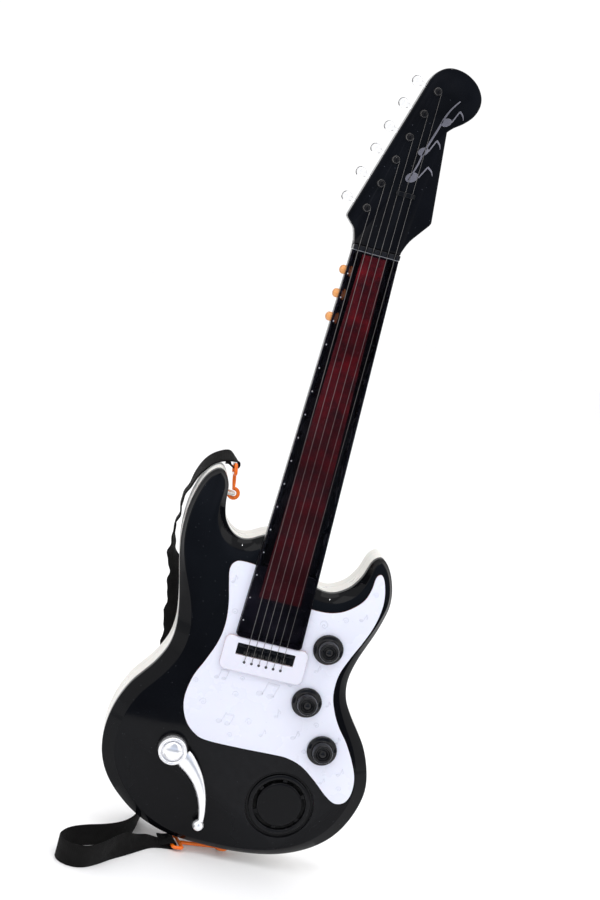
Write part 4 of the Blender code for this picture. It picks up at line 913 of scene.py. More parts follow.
def build_bridge():
    base = slab("bridge_cover", rounded_rectangle(-PLATE_X, PLATE_X, *PLATE_Z, 5.0, 10), PLATE_FRONT,
                GUARD_FRONT - GAP, 1.4, 0.2, 6)
    tools = [plug(rounded_rectangle(-SLOT_X, SLOT_X, *SLOT_Z, 0.8, 4), -12, 5),
             block("c", -NECK_HALF_END - GAP, NECK_HALF_END + GAP, -12, 5, NECK_END - GAP, NECK_END + 5)]
    for i in range(STRINGS):
        x = string_x(i, PITCH_BRIDGE)
        tools.append(rod("c", place(x, -12, TAIL_HOLE_Z), place(x, -3.4, TAIL_HOLE_Z), 1.0, 24))
    settle(shade(cut(base, tools), 30.0), "guitar", "bridge_white", finish("bridge"), "bridge_plate")
    profile = ((1.1, 0.0), (1.05, 0.08), (0.9, 0.1), (0.7, 0.04), (0.66, -0.6), (0.95, -0.7), (1.1, 0.0))
    for i in range(STRINGS):
        middle = place(string_x(i, PITCH_BRIDGE), PLATE_FRONT, TAIL_HOLE_Z)
        eye = turned(f"string_eye_{i + 1}", profile, middle, FORWARD, 24, 0.0)
        settle(eye, "guitar", "black_gloss_plastic", finish("black"), "bridge_comb")
    comb = block("bridge_bed", -SLOT_X + GAP, SLOT_X - GAP, -3.6, GUARD_FRONT - GAP, SLOT_Z[0] + GAP,
                 SLOT_Z[1] - GAP)
    ridge = block("c", -SLOT_X + GAP, SLOT_X - GAP, -6.3, -3.0, SLOT_Z[1] - 3.0, SLOT_Z[1] - GAP)
    saddles = []
    for i in range(STRINGS):
        x = string_x(i, PITCH_BRIDGE)
        saddle = block("c", x - 2.5, x + 2.5, -5.6, -3.0, SLOT_Z[0] + 1.0, SLOT_Z[1] - 2.6)
        saddles.append(soften(saddle, 0.35))
    cut(comb, [ridge] + saddles, 'UNION')
    notches = []
    for i in range(STRINGS):
        x = string_x(i, PITCH_BRIDGE)
        notches.append(block("c", x - 0.8, x + 0.8, -8, -5.2, SLOT_Z[1] - 4, SLOT_Z[1] + 1))
        notches.append(rod("c", place(x, -5.9, SLOT_Z[0]), place(x, -5.9, SLOT_Z[1] - 2), 0.7, 16))
    for k in range(13):
        x = -SLOT_X + 3.0 + k * (2 * SLOT_X - 6.0) / 12
        if abs((x / PITCH_BRIDGE) % 1 - 0.5) > 0.2:
            notches.append(block("c", x - 0.35, x + 0.35, -8, -5.6, SLOT_Z[1] - 1.8, SLOT_Z[1] + 1))
    settle(shade(cut(comb, notches), 30.0), "guitar", "black_gloss_plastic", finish("black"), "bridge_comb")


def string_route(index):
    """From the tail hole over the comb and the panel to the nut, then to the tuner post."""
    low, high = string_x(index, PITCH_BRIDGE), string_x(index, PITCH_NUT)
    post_x, post_z = POSTS[index]
    end_x = post_x + 2.95
    line = [(low, -4.0, TAIL_HOLE_Z), (low, -6.2, TAIL_HOLE_Z), (low, -6.8, TAIL_HOLE_Z + 0.9),
            (low, -7.3, SLOT_Z[1] - 1.5), (low, -7.8, NECK_END + 4), (high, -9.05, NUT_CREST)]
    steps = [(high + (end_x - high) * 0.25, -7.9, NUT_CREST + (post_z - NUT_CREST) * 0.25)]
    if index >= 3:
        t = (RETAINER_Z - NUT_CREST) / (post_z - NUT_CREST)
        steps = [(high + (end_x - high) * t, -7.3, RETAINER_Z)]
    return [place(*p) for p in line + steps + [(end_x, -7.6, post_z)]]


def build_strings():
    for i in range(STRINGS):
        radius = sizes().string_radius * (1.0 - 0.05 * i)
        wire = tube(f"guitar_string_{i + 1}", string_route(i), radius, resolution=3)
        settle(wire, "guitar", "string_steel", finish("string"), f"string_{i + 1}")
        x, z = POSTS[i]
        coil = []
        for k in range(3 * WRAP_STEPS + 1):
            a = 2 * math.pi * k / WRAP_STEPS
            coil.append(place(x + WRAP_RADIUS * math.cos(a), HEAD_FRONT - 1.4 - WRAP_PITCH * k / WRAP_STEPS,
                              z + WRAP_RADIUS * math.sin(a)))
        wrap = tube(f"string_wrap_{i + 1}", coil, radius * 0.95, resolution=2)
        settle(wrap, "guitar", "string_steel", finish("string"), f"string_{i + 1}")


# ---------------------------------------------------------------- neck

def neck_ring(z, deep, pull=0.0, floor=None):
    """Section of the neck's channel, or of a solid stretch whose inside is filled up to a floor."""
    outer = neck_outer(z)
    w = neck_half(z)
    narrow = (w - pull) / w
    thin = (w - pull - NECK_WALL) / w
    inner = [(x * thin, y - NECK_WALL if floor is None else floor) for x, y in outer]
    if not deep:
        outer = [(x * narrow, -GAP) for x, y in outer]
    w *= narrow
    line = [(-w, NECK_EDGE)] + outer + [(w, NECK_EDGE), (w - NECK_WALL, NECK_EDGE)]
    line += inner[::-1] + [(-w + NECK_WALL, NECK_EDGE)]
    return [place(x, y, z) for x, y in line]


def corner_steps(count=5, radius=3.0):
    """How far the rounded lower corners pull in at small heights above the neck's end."""
    return [(radius * (1 - math.cos(a)), radius * (1 - math.sin(a)))
            for a in [math.pi / 2 * k / count for k in range(count + 1)]]


def fret_heights():
    heights = []
    z = NECK_TOP - FRET_PITCH
    while z > NECK_END + 10:
        heights.append(z)
        z -= FRET_PITCH
    return heights[::-1]


def panel_ring(z, front, pull=0.0):
    w = neck_half(z) - pull
    half = [(-w, PANEL_BACK), (-w, front + 1.0)]
    for k in range(1, 5):
        a = math.pi / 2 * k / 4
        half.append((-w + 0.9 * (1 - math.cos(a)), front + 1.0 - math.sin(a)))
    return [place(x, y, z) for x, y in half + [(-x, y) for x, y in half[::-1]]]


def build_neck():
    filled, floor = NECK_EDGE + 0.2, -GAP - 2.0
    rings = [neck_ring(NECK_END + rise, False, pull, filled) for rise, pull in corner_steps()]
    rings += [neck_ring(NECK_END + 3.3, False, 0.0, floor), neck_ring(TONGUE_Z, False, 0.0, floor),
              neck_ring(TONGUE_Z + 0.2, True), neck_ring(NECK_TOP - 1.7, True),
              neck_ring(NECK_TOP - 1.5, True, 0.0, filled), neck_ring(NECK_TOP, True, 0.0, filled)]
    shell = skin("neck_shell", rings)
    tools = []
    for z in BUTTON_Z:
        w = neck_half(z)
        tools.append(rod("c", place(-w - 5, BUTTON_Y, z), place(-w + 8, BUTTON_Y, z),
                         BUTTON_RADIUS + GAP, 40))
    settle(shade(cut(shell, tools), 35.0, 4e-4), "guitar", "neck_plastic", finish("neck"), "neck_back_shell")
    rings = [panel_ring(NECK_END + rise, PANEL_FRONT, pull) for rise, pull in corner_steps()]
    for z in fret_heights():
        for k in range(7):
            a = math.pi * k / 6
            rings.append(panel_ring(z - 0.6 * math.cos(a), PANEL_FRONT - 0.14 * math.sin(a)))
    rings.append(panel_ring(NECK_TOP, PANEL_FRONT))
    settle(shade(skin("neck_panel", rings), 40.0, 1.0), "guitar", "smoky_panel", finish("smoke"),
           "fret_panel")
    window = slab("neck_window", [Vector(p) for p in WINDOW_OUTLINE], PANEL_BACK + GAP,
                  PANEL_BACK + 1.3, 0.2, 0.1, 2)
    settle(shade(window), "guitar", "light_window_red", finish("window"), "light_window")
    # Small studs at each fret by the panel's left edge; their white is painted highlight for the small glints
    # there.
    for i, z in enumerate(fret_heights()):
        stud = turned(f"fret_stud_{i + 1}", ((0, 0.5), (0.25, 0.45), (0.42, 0.25), (0.48, 0.0), (0.48, -0.5),
                                             (0, -0.5)),
                      place(-neck_half(z) + 1.9, PANEL_FRONT, z), FORWARD, 20, 0.0)
        settle(stud, "guitar", "smoky_panel", finish("bridge"), "fret_panel")
    w = neck_half(NECK_TOP)
    nut = soften(block("nut_bar", -w, w, NUT_FRONT, HEAD_SPLIT, *NUT_Z), 0.6, 3)
    grooves = [rod("c", place(string_x(i, PITCH_NUT), -9.2, NUT_Z[0] - 3),
                   place(string_x(i, PITCH_NUT), -9.2, NUT_Z[1] + 3), 0.9, 24) for i in range(STRINGS)]
    settle(shade(cut(nut, grooves), 35.0), "guitar", "black_gloss_plastic", finish("black"), "nut")
    lip = tube("nut_lip", [place(-w + 0.4, PANEL_FRONT - 0.5, NUT_Z[0] - 0.1),
                           place(w - 0.4, PANEL_FRONT - 0.5, NUT_Z[0] - 0.1)], 0.35 * MM)
    settle(lip, "guitar", "string_steel", finish("screw"), "nut")


# ---------------------------------------------------------------- headstock

def head_outline(z_low):
    tip = [p for p in smooth_line(HEAD_TIP, 5)]
    w = neck_half(NECK_TOP)
    right = [(35.3, 534.5), (35.3, 533.4), (35.0, 532.4), (34.4, 531.2), (33.5, 530), (25.2, 519),
             (22.9, 515.6), (21.4, 512.5), (20.2, 509.5), (w + 0.4, 506), (w, z_low)]
    left = [(-w, z_low), (-w - 0.4, 506), (-20.2, 510.6), (-21.5, 514.3), (-23.0, 516.2),
            (-24.6, 517.6), (-28.2, 521.2), (-29.0, 522.2), (-29.2, 523.4), (-29, 524.6)]
    return [Vector(p) for p in tip] + [Vector(p) for p in right + left]


def peg_line(index):
    x, z = POSTS[index]
    dx, dz = HEAD_EDGE_DIRECTION
    return Vector((x, z)), Vector((-dz, dx))


def build_headstock():
    front = slab("headstock_face", head_outline(NUT_Z[1] + GAP), HEAD_FRONT, HEAD_SPLIT, 1.0, 0.1)
    back = slab("headstock_rear", head_outline(NUT_Z[0]), HEAD_SPLIT + GAP, HEAD_BACK, 0.1, 2.2, 5)
    fronts, backs = [], []
    for i, (x, z) in enumerate(POSTS):
        fronts.append(rod("c", place(x, -10, z), place(x, -1.5, z), 1.5, 24))
        start, run = peg_line(i)
        a, b = start + run * 4.0, start + run * 24.0
        backs.append(rod("c", place(a.x, 4.2, a.y), place(b.x, 4.2, b.y), 1.9, 24))
    settle(shade(cut(front, fronts), 35.0), "guitar", "headstock_plastic", finish("head"), "headstock_front")
    settle(shade(cut(back, backs), 35.0), "guitar", "headstock_plastic", finish("head"), "headstock_back")
    x0, x1 = 2.6, 17.2
    bar = slab("retainer_bar", rounded_rectangle(x0, x1, 547.2, 550.8, 1.2), -8.2, HEAD_FRONT - GAP, 0.5, 0.1)
    humps, bores = [], []
    for i in range(3, STRINGS):
        a, mid, b = string_route(i)[-3:]
        humps.append(rod("c", mid + Vector((0, 0, -0.0015)), mid + Vector((0, 0, 0.0015)), 1.35, 24))
        bores.append(rod("c", mid + (a - mid).normalized() * 0.006, mid, 0.6, 16))
        bores.append(rod("c", mid, mid + (b - mid).normalized() * 0.006, 0.6, 16))
    bar = cut(cut(bar, humps, 'UNION'), bores)
    settle(shade(bar, 35.0), "guitar", "black_gloss_plastic", finish("black"), "string_retainer")


def build_tuners():
    for i, (x, z) in enumerate(POSTS):
        post = ((0, 5.2), (0.8, 5.1), (1.5, 4.8), (2.1, 4.4), (2.5, 3.8), (2.6, 3.2), (2.2, 2.6), (2.2, 1.2),
                (2.6, 0.9), (3.0, 0.8), (3.4, 0.4), (3.4, 0.02), (1.2, 0.02), (1.2, -3.4), (0, -3.4))
        ob = turned(f"string_post_{i + 1}", post, place(x, HEAD_FRONT, z), FORWARD, 40, 0.12)
        settle(ob, "guitar", "post_plastic", finish("post"), f"tuner_post_{i + 1}")
        start, run = peg_line(i)
        base = start + run * 9.2
        axis = Vector((run.x, 0, run.y))
        turn = Matrix((REARWARD, axis.cross(REARWARD), axis)).transposed()
        peg = ((0, 11.6), (1.0, 11.5), (1.9, 11.25), (2.7, 10.75), (3.3, 10.1), (3.75, 9.2), (3.9, 8.2),
               (3.9, 7.1), (3.65, 6.0), (3.2, 5.0), (2.5, 4.2), (1.9, 3.6), (1.6, 2.9), (1.6, -3.6),
               (0, -3.6))
        ob = turned(f"clear_peg_{i + 1}", peg, place(base.x, 4.2, base.y), axis, 40, 0.1, turn, 0.62)
        settle(ob, f"tuner_peg_{i + 1}_body", "clear_plastic", finish("clear"), f"tuner_peg_{i + 1}")


def build_ornament():
    """Raised notes on a long wavering stave, as the guitar's decoration."""
    y0, y1 = HEAD_FRONT - GAP - 0.7, HEAD_FRONT + 0.02
    spine = smooth_line([(8.4, 560), (10.6, 566), (13.0, 574), (14.6, 583), (17.6, 593), (20.6, 603),
                         (23.4, 613), (27.0, 621), (31.5, 627.5)], 4)
    widths = [0.45 + 0.35 * math.sin(math.pi * k / (len(spine) - 1)) for k in range(len(spine))]
    loops = [stroke(spine, widths)]
    for cx, cz, size in ((9.6, 563.0, 1.7), (12.8, 584.0, 1.4), (24.0, 609.5, 1.4)):
        loops.append(ellipse(cx + 1.4, cz, 3.1 * size, 2.1 * size, 35))
        stem = [(cx + 3.7 * size, cz + 1.0), (cx + 5.2 * size, cz + 6.0), (cx + 6.6 * size, cz + 10.5)]
        flag = [(cx + 6.5 * size, cz + 10.6), (cx + 8.6 * size, cz + 8.2), (cx + 9.6 * size, cz + 5.0)]
        loops.append(stroke(stem, (0.5, 0.5, 0.5)))
        loops.append(stroke(smooth_line(flag, 4), [0.9 - 0.09 * k for k in range(9)]))
    ob = relief("headstock_notes", loops, y0, y1, 0.3)
    settle(ob, "guitar", "ornament_plastic", finish("ornament"), "headstock_ornament")


# ---------------------------------------------------------------- controls

def build_knobs():
    profile = ((0, 11.6), (1.2, 11.5), (2.2, 11.2), (3.0, 10.7), (3.5, 10.0), (4.2, 9.6), (4.9, 9.8),
               (5.3, 10.9), (5.8, 11.6), (6.4, 11.9), (7.0, 11.8), (7.5, 11.3), (7.9, 10.4), (8.8, 4.4),
               (9.2, 3.8), (9.9, 3.5), (11.6, 3.2), (KNOB_RADIUS, 2.4), (KNOB_RADIUS, GAP),
               (SHAFT_RADIUS, GAP), (SHAFT_RADIUS, -9.0), (0, -9.0))
    for i, (x, z) in enumerate(KNOBS):
        ob = turned(f"turning_knob_{i + 1}", profile, place(x, GUARD_FRONT, z), FORWARD, 96, 0.25)
        settle(ob, f"knob_{i + 1}_body", "knob_plastic", finish("knob"), f"knob_{i + 1}")


def build_buttons():
    for i, z in enumerate(BUTTON_Z):
        profile = [(BUTTON_RADIUS * math.sin(a), BUTTON_PROUD - 3.0 + 3.0 * math.cos(a))
                   for a in [math.pi / 2 * k / 8 for k in range(9)]]
        profile += [(BUTTON_RADIUS, -3.9), (4.4, -3.9), (4.4, -5.0), (0, -5.0)]
        ob = turned(f"orange_button_{i + 1}", profile, place(-neck_half(z), BUTTON_Y, z), Vector((-1, 0, 0)),
                    48, 0.1)
        settle(ob, f"neck_button_{i + 1}_body", "orange_plastic", finish("button"), f"neck_button_{i + 1}")


def build_whammy():
    x, z = HUB
    ring = ((SHAFT_RADIUS + GAP, 4.0), (11.9, 4.0), (12.6, 3.2), (12.6, GAP), (SHAFT_RADIUS + GAP, GAP),
            (SHAFT_RADIUS + GAP, 4.0))
    collar = turned("lever_collar", ring, place(x, 0, z), FORWARD, 96, 0.0)
    settle(collar, "guitar", "black_gloss_plastic", finish("black"), "whammy_collar")
    dome = [(7.9 * math.sin(a), 9.4 + 2.8 * math.cos(a)) for a in (math.pi / 2 * k / 10 for k in range(11))]
    rim = [(10.2 - 1.4 * math.cos(a), 9.0 + 1.4 * math.sin(a)) for a in (math.pi * k / 8 for k in range(9))]
    profile = [*dome, (7.9, 7.4), (8.8, 7.4), *rim, (11.6, 4.3), (SHAFT_RADIUS, 4.3), (SHAFT_RADIUS, -7.0),
               (0, -7.0)]
    hub = turned("silver_lever", profile, place(x, 0, z), FORWARD, 120, 0.0)
    path = ((-42.9, 74.2, 14.4, 4.6), (-39.2, 71.2, 14.4, 4.6), (-33.2, 65.8, 12.4, 4.5),
            (-27.4, 59.0, 10.2, 4.4), (-22.6, 51.0, 8.2, 4.3), (-19.0, 42.4, 6.7, 4.2),
            (-16.6, 33.5, 5.5, 4.0), (-15.4, 25.0, 4.7, 4.0), (-15.9, 20.0, 4.4, 4.0))
    fine_path = smooth_line(path, 4)
    rings = []
    for i, (px, pz, width, height) in enumerate(fine_path):
        run = fine_path[min(i + 1, len(fine_path) - 1)] - fine_path[max(i - 1, 0)]
        side = Vector((-run[1], run[0])).normalized()
        ring = []
        for k in range(24):
            a = 2 * math.pi * k / 24
            u = side * (width / 2 * math.cos(a))
            ring.append(place(px + u.x, -7.3 + height / 2 * math.sin(a), pz + u.y))
        rings.append(ring)
    arm = skin("c", rings)
    bm = bmesh.new()
    bmesh.ops.create_uvsphere(bm, u_segments=40, v_segments=24, radius=4.7 * MM,
                              matrix=Matrix.Translation(place(-16.4, -7.3, 20.6)))
    lever = cut(hub, [arm, mesh_object("c", bm)], 'UNION')
    settle(shade(lever, 38.0, 1.0), "whammy_lever_body", "plated_silver", finish("silver"), "whammy_lever")


def build_speaker():
    x, z = SPEAKER
    profile = ((0, 0.0), (17.0, 0.0), (17.6, -0.04), (18.2, -0.3), (18.6, -0.9), (18.6, -2.2),
               (21.4, -2.2), (21.4, -0.8), (21.8, -0.1), (22.4, 0.2), (24.6, 0.2), (25.2, -0.1),
               (25.6, -0.7), (25.6, -2.0), (27.2, -2.0), (27.5, -1.6), (SPEAKER_RADIUS, -1.6),
               (SPEAKER_RADIUS, -4.0), (0, -4.0))
    grille = turned("round_grille", profile, place(x, 0, z), FORWARD, 120, 0.0)
    tools = []
    for k in range(6):
        start = 90 + 60 * k + 5
        arc = []
        for radius, order in ((21.4, range(13)), (18.6, range(12, -1, -1))):
            for s in order:
                a = math.radians(start + 50 * s / 12)
                arc.append((x + radius * math.cos(a), z + radius * math.sin(a)))
        tools.append(plug(arc, -6, 8))
    settle(shade(cut(grille, tools), 35.0), "guitar", "grille_plastic", finish("grille"), "speaker_grille")


# ---------------------------------------------------------------- strap

def strap_route():
    """Centre points and half width directions of the webbing, from the horn to the tail."""
    flat, upright = (1, 0, 0), (0, 0, -1)
    bar, tail = (0.0, 0.991, -0.129), (0.24, -0.97, 0.0)
    return (
        ((-67.4, 37.0, 310.7), (0.0, 0.93, 0.36)), ((-64.6, 38.4, 309.7), (0.03, 0.95, 0.22)),
        ((-62.0, 39.5, 305.9), (0.0, 0.99, -0.06)), ((-58.6, 40.1, 303.9), bar),
        ((-56.4, 40.3, 305.3), bar), ((-55.9, 40.6, 307.5), bar), ((-57.1, 40.8, 309.5), bar),
        ((-60.2, 40.6, 310.9), (0.03, 0.98, 0.05)), ((-66.4, 37.6, 313.0), (0.0, 0.93, 0.36)),
        ((-75.6, 32.5, 309.9), (-0.08, 0.94, 0.30)), ((-82.2, 29.5, 303.8), (-0.15, 0.96, 0.2)),
        ((-87.4, 28.5, 294.0), (-0.1, 0.99, 0.05)), ((-90.4, 29.0, 282.0), (0, 1, 0)),
        ((-93.0, 30.0, 269.0), (0, 1, 0)), ((-91.8, 32.0, 255.0), (0.05, 1, 0)),
        ((-92.6, 35.0, 242.0), (0.1, 1, 0)), ((-90.6, 39.0, 230.0), (0.25, 0.97, 0)),
        ((-85.6, 45.5, 218.0), (0.62, 0.78, 0)), ((-79.6, 51.0, 205.0), (0.85, 0.5, 0)),
        ((-75.5, 54.0, 188.0), (0.98, 0.18, 0)), ((-72.5, 55.0, 168.0), flat),
        ((-68.5, 55.0, 140.0), flat), ((-63.5, 54.5, 105.0), flat), ((-60.5, 54.5, 70.0), flat),
        ((-60.5, 55.0, 42.0), flat), ((-60.5, 56.0, 24.0), (0.9, 0, -0.42)),
        ((-60.0, 57.5, 10.0), (0.62, 0.0, -0.78)), ((-60.2, 55.0, 3.0), (0.3, 0.05, -0.95)),
        ((-60.8, 45.0, 1.3), (0.08, 0, -1)), ((-63.0, 26.0, 1.2), upright),
        ((-67.5, 8.0, 1.2), upright), ((-76.5, -8.0, 1.2), upright),
        ((-90.0, -20.5, 1.2), upright), ((-104.0, -29.5, 1.2), upright),
        ((-115.5, -39.5, 1.2), upright), ((-122.0, -50.5, 1.2), upright),
        ((-123.5, -60.0, 1.2), upright), ((-119.5, -68.0, 1.2), upright),
        ((-111.0, -72.0, 1.2), upright), ((-101.0, -69.0, 1.2), upright),
        ((-91.0, -58.5, 1.2), upright), ((-80.0, -41.0, 0.9), (0.06, -0.18, -0.98)),
        ((-69.5, -23.5, -0.9), (0.2, -0.62, -0.74)), ((-60.0, -8.5, -4.2), (0.25, -0.88, -0.38)),
        ((-51.5, 2.0, -5.6), (0.26, -0.94, -0.2)), ((-44.0, 6.2, -6.6), (0.25, -0.96, -0.05)),
        ((-38.5, 7.7, -7.0), tail), ((-33.0, 9.0, -7.1), tail), ((-31.0, 9.5, -6.2), tail),
        ((-30.3, 9.7, -4.4), tail), ((-31.0, 9.5, -2.6), tail), ((-33.0, 9.0, -1.7), tail),
        ((-37.5, 7.9, -2.9), tail), ((-43.0, 6.4, -3.9), (0.25, -0.96, -0.12)))


def fine_route(steps):
    """A finer route: centre, half width direction and the way the face looks, in metres."""
    centres = smooth_line([c for c, w in strap_route()], steps)
    across = smooth_line([w for c, w in strap_route()], steps)
    rows = []
    for c in centres:
        if 110 < c.z < 290:
            hem = min(1.0, (c.z - 110) / 30, (290 - c.z) / 20)
            c.x -= hem * (0.9 + 0.9 * math.sin(c.z / 4.3) + 0.5 * math.sin(c.z / 2.1 + 1.0))
    for i, (c, w) in enumerate(zip(centres, across)):
        run = centres[min(i + 1, len(centres) - 1)] - centres[max(i - 1, 0)]
        w = w.normalized()
        rows.append((place(*c), w, run.cross(w).normalized()))
    return rows


def build_webbing():
    half, thick = sizes().webbing_width / 2, sizes().webbing_thickness / 2
    shape = [(-1.0, 0.0), (-0.985, 0.6), (-0.94, 1.0), (-0.5, 0.93), (0.0, 0.9), (0.5, 0.93), (0.94, 1.0),
             (0.985, 0.6)]
    shape += [(-u, -v) for u, v in shape]
    rows = fine_route(6)
    bm = bmesh.new()
    rings = [[bm.verts.new(c + w * (half * u) + n * (thick * v)) for u, v in shape] for c, w, n in rows]
    uv = bm.loops.layers.uv.new("webbing_uv")
    along = [0.0]
    for (a, _, _), (b, _, _) in zip(rows, rows[1:]):
        along.append(along[-1] + (b - a).length)
    count = len(shape)
    for r in range(len(rings) - 1):
        for i in range(count):
            j = (i + 1) % count
            face = bm.faces.new((rings[r][i], rings[r][j], rings[r + 1][j], rings[r + 1][i]))
            spots = ((shape[i][0], along[r]), (shape[j][0], along[r]), (shape[j][0], along[r + 1]),
                     (shape[i][0], along[r + 1]))
            for loop, spot in zip(face.loops, spots):
                loop[uv].uv = spot
    bm.faces.new(rings[0])
    bm.faces.new(rings[-1][::-1])
    strap = shade(mesh_object("woven_strap", bm), 60.0, 1.0)
    settle(strap, "guitar", "black_webbing", finish("webbing"), "strap_webbing")
    return strap, along[-1]


def stitch_rows(name, first, last, rows):
    """Box of thread across the band between two places of its route, on both of its faces."""
    bm = bmesh.new()
    half, lift = sizes().webbing_width / 2 - 0.0022, sizes().webbing_thickness / 2
    spots = []
    for k in range(8):
        u = -half + 2 * half * (k + 0.5) / 8
        spots += [(first, u, True), (last, u, True)]
    for r in range(first, last, 2):
        spots += [(r, -half, False), (r, half, False)]
    for r, u, crossing in spots:
        c, w, n = rows[r]
        run = (rows[r + 1][0] - rows[r - 1][0]).normalized()
        for face in (1, -1):
            middle = c + w * u + n * (lift * face)
            way = w if crossing else run
            turn = Matrix((way, n.cross(way), n)).transposed().to_4x4()
            size = Matrix.Diagonal((0.0008, 0.00028, 0.00022, 1.0))
            bmesh.ops.create_icosphere(bm, subdivisions=1, radius=1.0,
                                       matrix=Matrix.Translation(middle) @ turn @ size)
    ob = shade(mesh_object(name, bm), 60.0, 1.0)
    return settle(ob, "guitar", "black_webbing", finish("thread"), "strap_webbing")


def build_hook(name, bar, ring, side, across, size, node):
    """Plastic strap hook in one piece: frame, shank and open ring."""
    radius = sizes().hook_wire
    run = (ring - bar).normalized()
    half, depth = HOOK_FRAME
    loop = []
    for u0, v0, start in ((half - 1.8, depth - 1.8, 0), (-half + 1.8, depth - 1.8, 90),
                          (-half + 1.8, 1.8, 180), (half - 1.8, 1.8, 270)):
        for k in range(5):
            a = math.radians(start + 90 * k / 4)
            p = bar + across * (u0 + 1.8 * math.cos(a)) + run * (v0 + 1.8 * math.sin(a))
            loop.append(place(*p))
    body = tube(name, loop, radius, True, 5)
    points = [bar + run * HOOK_FRAME[1], bar + run * (HOOK_FRAME[1] * 0.5 + 0.5 * (ring - bar).length - 2),
              ring - run * size]
    for degrees in range(15, 301, 15):
        a = math.radians(degrees)
        points.append(ring - run * (size * math.cos(a)) + side * (size * math.sin(a)))
    shank = tube("c", [place(*p) for p in points], radius * 1.05, False, 5)
    ob = cut(body, [shank], 'UNION')
    return settle(shade(ob, 60.0, 1.0), "guitar", "orange_plastic", finish("orange"), node)


def build_strap():
    strap, length = build_webbing()
    rows = fine_route(6)
    upper = stitch_rows("strap_stitches_upper", 45, 51, rows)
    lower = stitch_rows("strap_stitches_lower", len(rows) - 50, len(rows) - 44, rows)
    bar, ring = Vector((-58.8, 40.5, 307.0)), Vector((-54.5, 37.5, 284.0))
    run = (ring - bar).normalized()
    side = (Vector((1, 0, 0)) - run * run.x).normalized()
    build_hook("orange_hook_upper", bar, ring, side, run.cross(side), 3.9, "strap_hook_upper")
    bar, ring = Vector((-33.0, 9.0, -4.4)), Vector((10.0, 19.6, -4.4))
    run = (ring - bar).normalized()
    side = run.cross(Vector((0, 0, 1))).normalized()
    build_hook("orange_hook_lower", bar, ring, side, side, 4.3, "strap_hook_lower")


# ---------------------------------------------------------------- back and inside

def build_back():
    door = slab("rear_door", rounded_rectangle(-DOOR_X, DOOR_X, *DOOR_Z, 2.0), BODY_BACK - 1.3, BODY_BACK,
                0.1, 0.4)
    ribs = [plug(rounded_rectangle(-9, 9, DOOR_Z[1] - 12 - 3 * k, DOOR_Z[1] - 10.6 - 3 * k, 0.6, 3),
                 BODY_BACK - 0.5, BODY_BACK + 2) for k in range(5)]
    settle(shade(cut(door, ribs), 35.0), "battery_door_body", "white_back_plastic", finish("white_back"),
           "battery_door")
    x, z = SWITCH
    slider = slab("slide_switch", rounded_rectangle(x - 2.0, x + 2.0, z - 3.4, z + 3.4, 0.5, 4), 40.0, 46.6,
                  0.1, 0.3)
    flange = block("c", x - 4.0, x + 4.0, 39.0, 41.4, z - 4.4, z + 4.4)
    cut(slider, [flange], 'UNION')
    grips = [block("c", x - 3, x + 3, 46.1, 48, z - 2.3 + 1.4 * k, z - 1.7 + 1.4 * k) for k in range(4)]
    settle(shade(cut(slider, grips), 35.0), "power_switch_body", "black_gloss_plastic", finish("black"),
           "power_switch")
    profile = ((0, 0.0), (0.9, -0.03), (1.7, -0.15), (2.4, -0.45), (2.9, -0.95), (2.9, -1.9), (1.4, -2.3),
               (1.4, -12.0), (0.2, -13.0), (0, -13.0))
    for i, (sx, sz) in enumerate(SCREWS):
        screw = turned(f"cross_screw_{i + 1}", profile, place(sx, 43.6, sz), REARWARD, 40, 0.08)
        slots = [block("c", sx - 1.7, sx + 1.7, 42.4, 45, sz - 0.35, sz + 0.35),
                 block("c", sx - 0.35, sx + 0.35, 42.4, 45, sz - 1.7, sz + 1.7)]
        settle(shade(cut(screw, slots), 35.0), "guitar", "screw_steel", finish("screw"),
               f"body_screw_{i + 1}")


def paint_insides():
    """The frame's own inner pieces keep their shape and take a finish."""
    inner = {"battery_tray": "tray", "circuit_board": "board", "light_board": "board",
             "speaker_driver": "paper", "battery_1": "cell", "battery_2": "cell", "battery_3": "cell"}
    for node, name in inner.items():
        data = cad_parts[node].data
        data.materials.clear()
        data.materials.append(finish(name))


# ---------------------------------------------------------------- stage

CAMERA = (-0.16764, -1.23537, 0.00696)
LOOK = (-7.0, 8.0, 15.3)   # turn, elevation and roll in degrees
LENS, SENSOR = 64.0, 36.0
FLOOR_REACH = 8.0
FLAG_LEFT, FLAG_RIGHT, FLAG_FAR, FLAG_TOP = -0.54, 0.98, -1.7, 1.6
FLAG_LIFT = 0.004         # how far the low card lies above the floor
FLAG_MIDDLE, FLAG_FADE = 0.22, (0.46, 0.76)   # the cards turn white this far from their middle
SKY, SKY_STRENGTH = (0.995, 0.995, 1.0, 1.0), 1.06
LIGHTS = (                # name, place, aimed at, size, power
    ("key_light", (-0.7, -1.5, 1.1), (0, 0, -0.25), (1.1, 1.1), 5.0),
    ("fill_light", (1.3, -0.9, 0.7), (0, 0, -0.25), (0.9, 0.9), 2.5),
    ("top_light", (0.0, -0.1, 1.9), (0, 0, -0.5), (1.8, 1.8), 16.0),
    ("glint_light", (0.1, -1.0, 1.5), (0, 0, -0.25), (0.05, 0.05), 3.0))


def build_camera():
    a, e, roll = (math.radians(v) for v in LOOK)
    back = Vector((math.sin(a) * math.cos(e), -math.cos(a) * math.cos(e), math.sin(e)))
    level = Vector((math.cos(a), math.sin(a), 0.0))
    rise = back.cross(level)
    right = level * math.cos(roll) + rise * math.sin(roll)
    up = rise * math.cos(roll) - level * math.sin(roll)
    camera = bpy.data.objects.new("studio_camera", bpy.data.cameras.new("studio_camera"))
    camera.data.lens = LENS
    camera.data.sensor_width = SENSOR
    camera.data.clip_start = 0.01
    camera.data.clip_end = 50.0
    camera.matrix_world = Matrix.Translation(CAMERA) @ Matrix((right, up, back)).transposed().to_4x4()
    bpy.context.scene.collection.objects.link(camera)
    bpy.context.scene.camera = camera


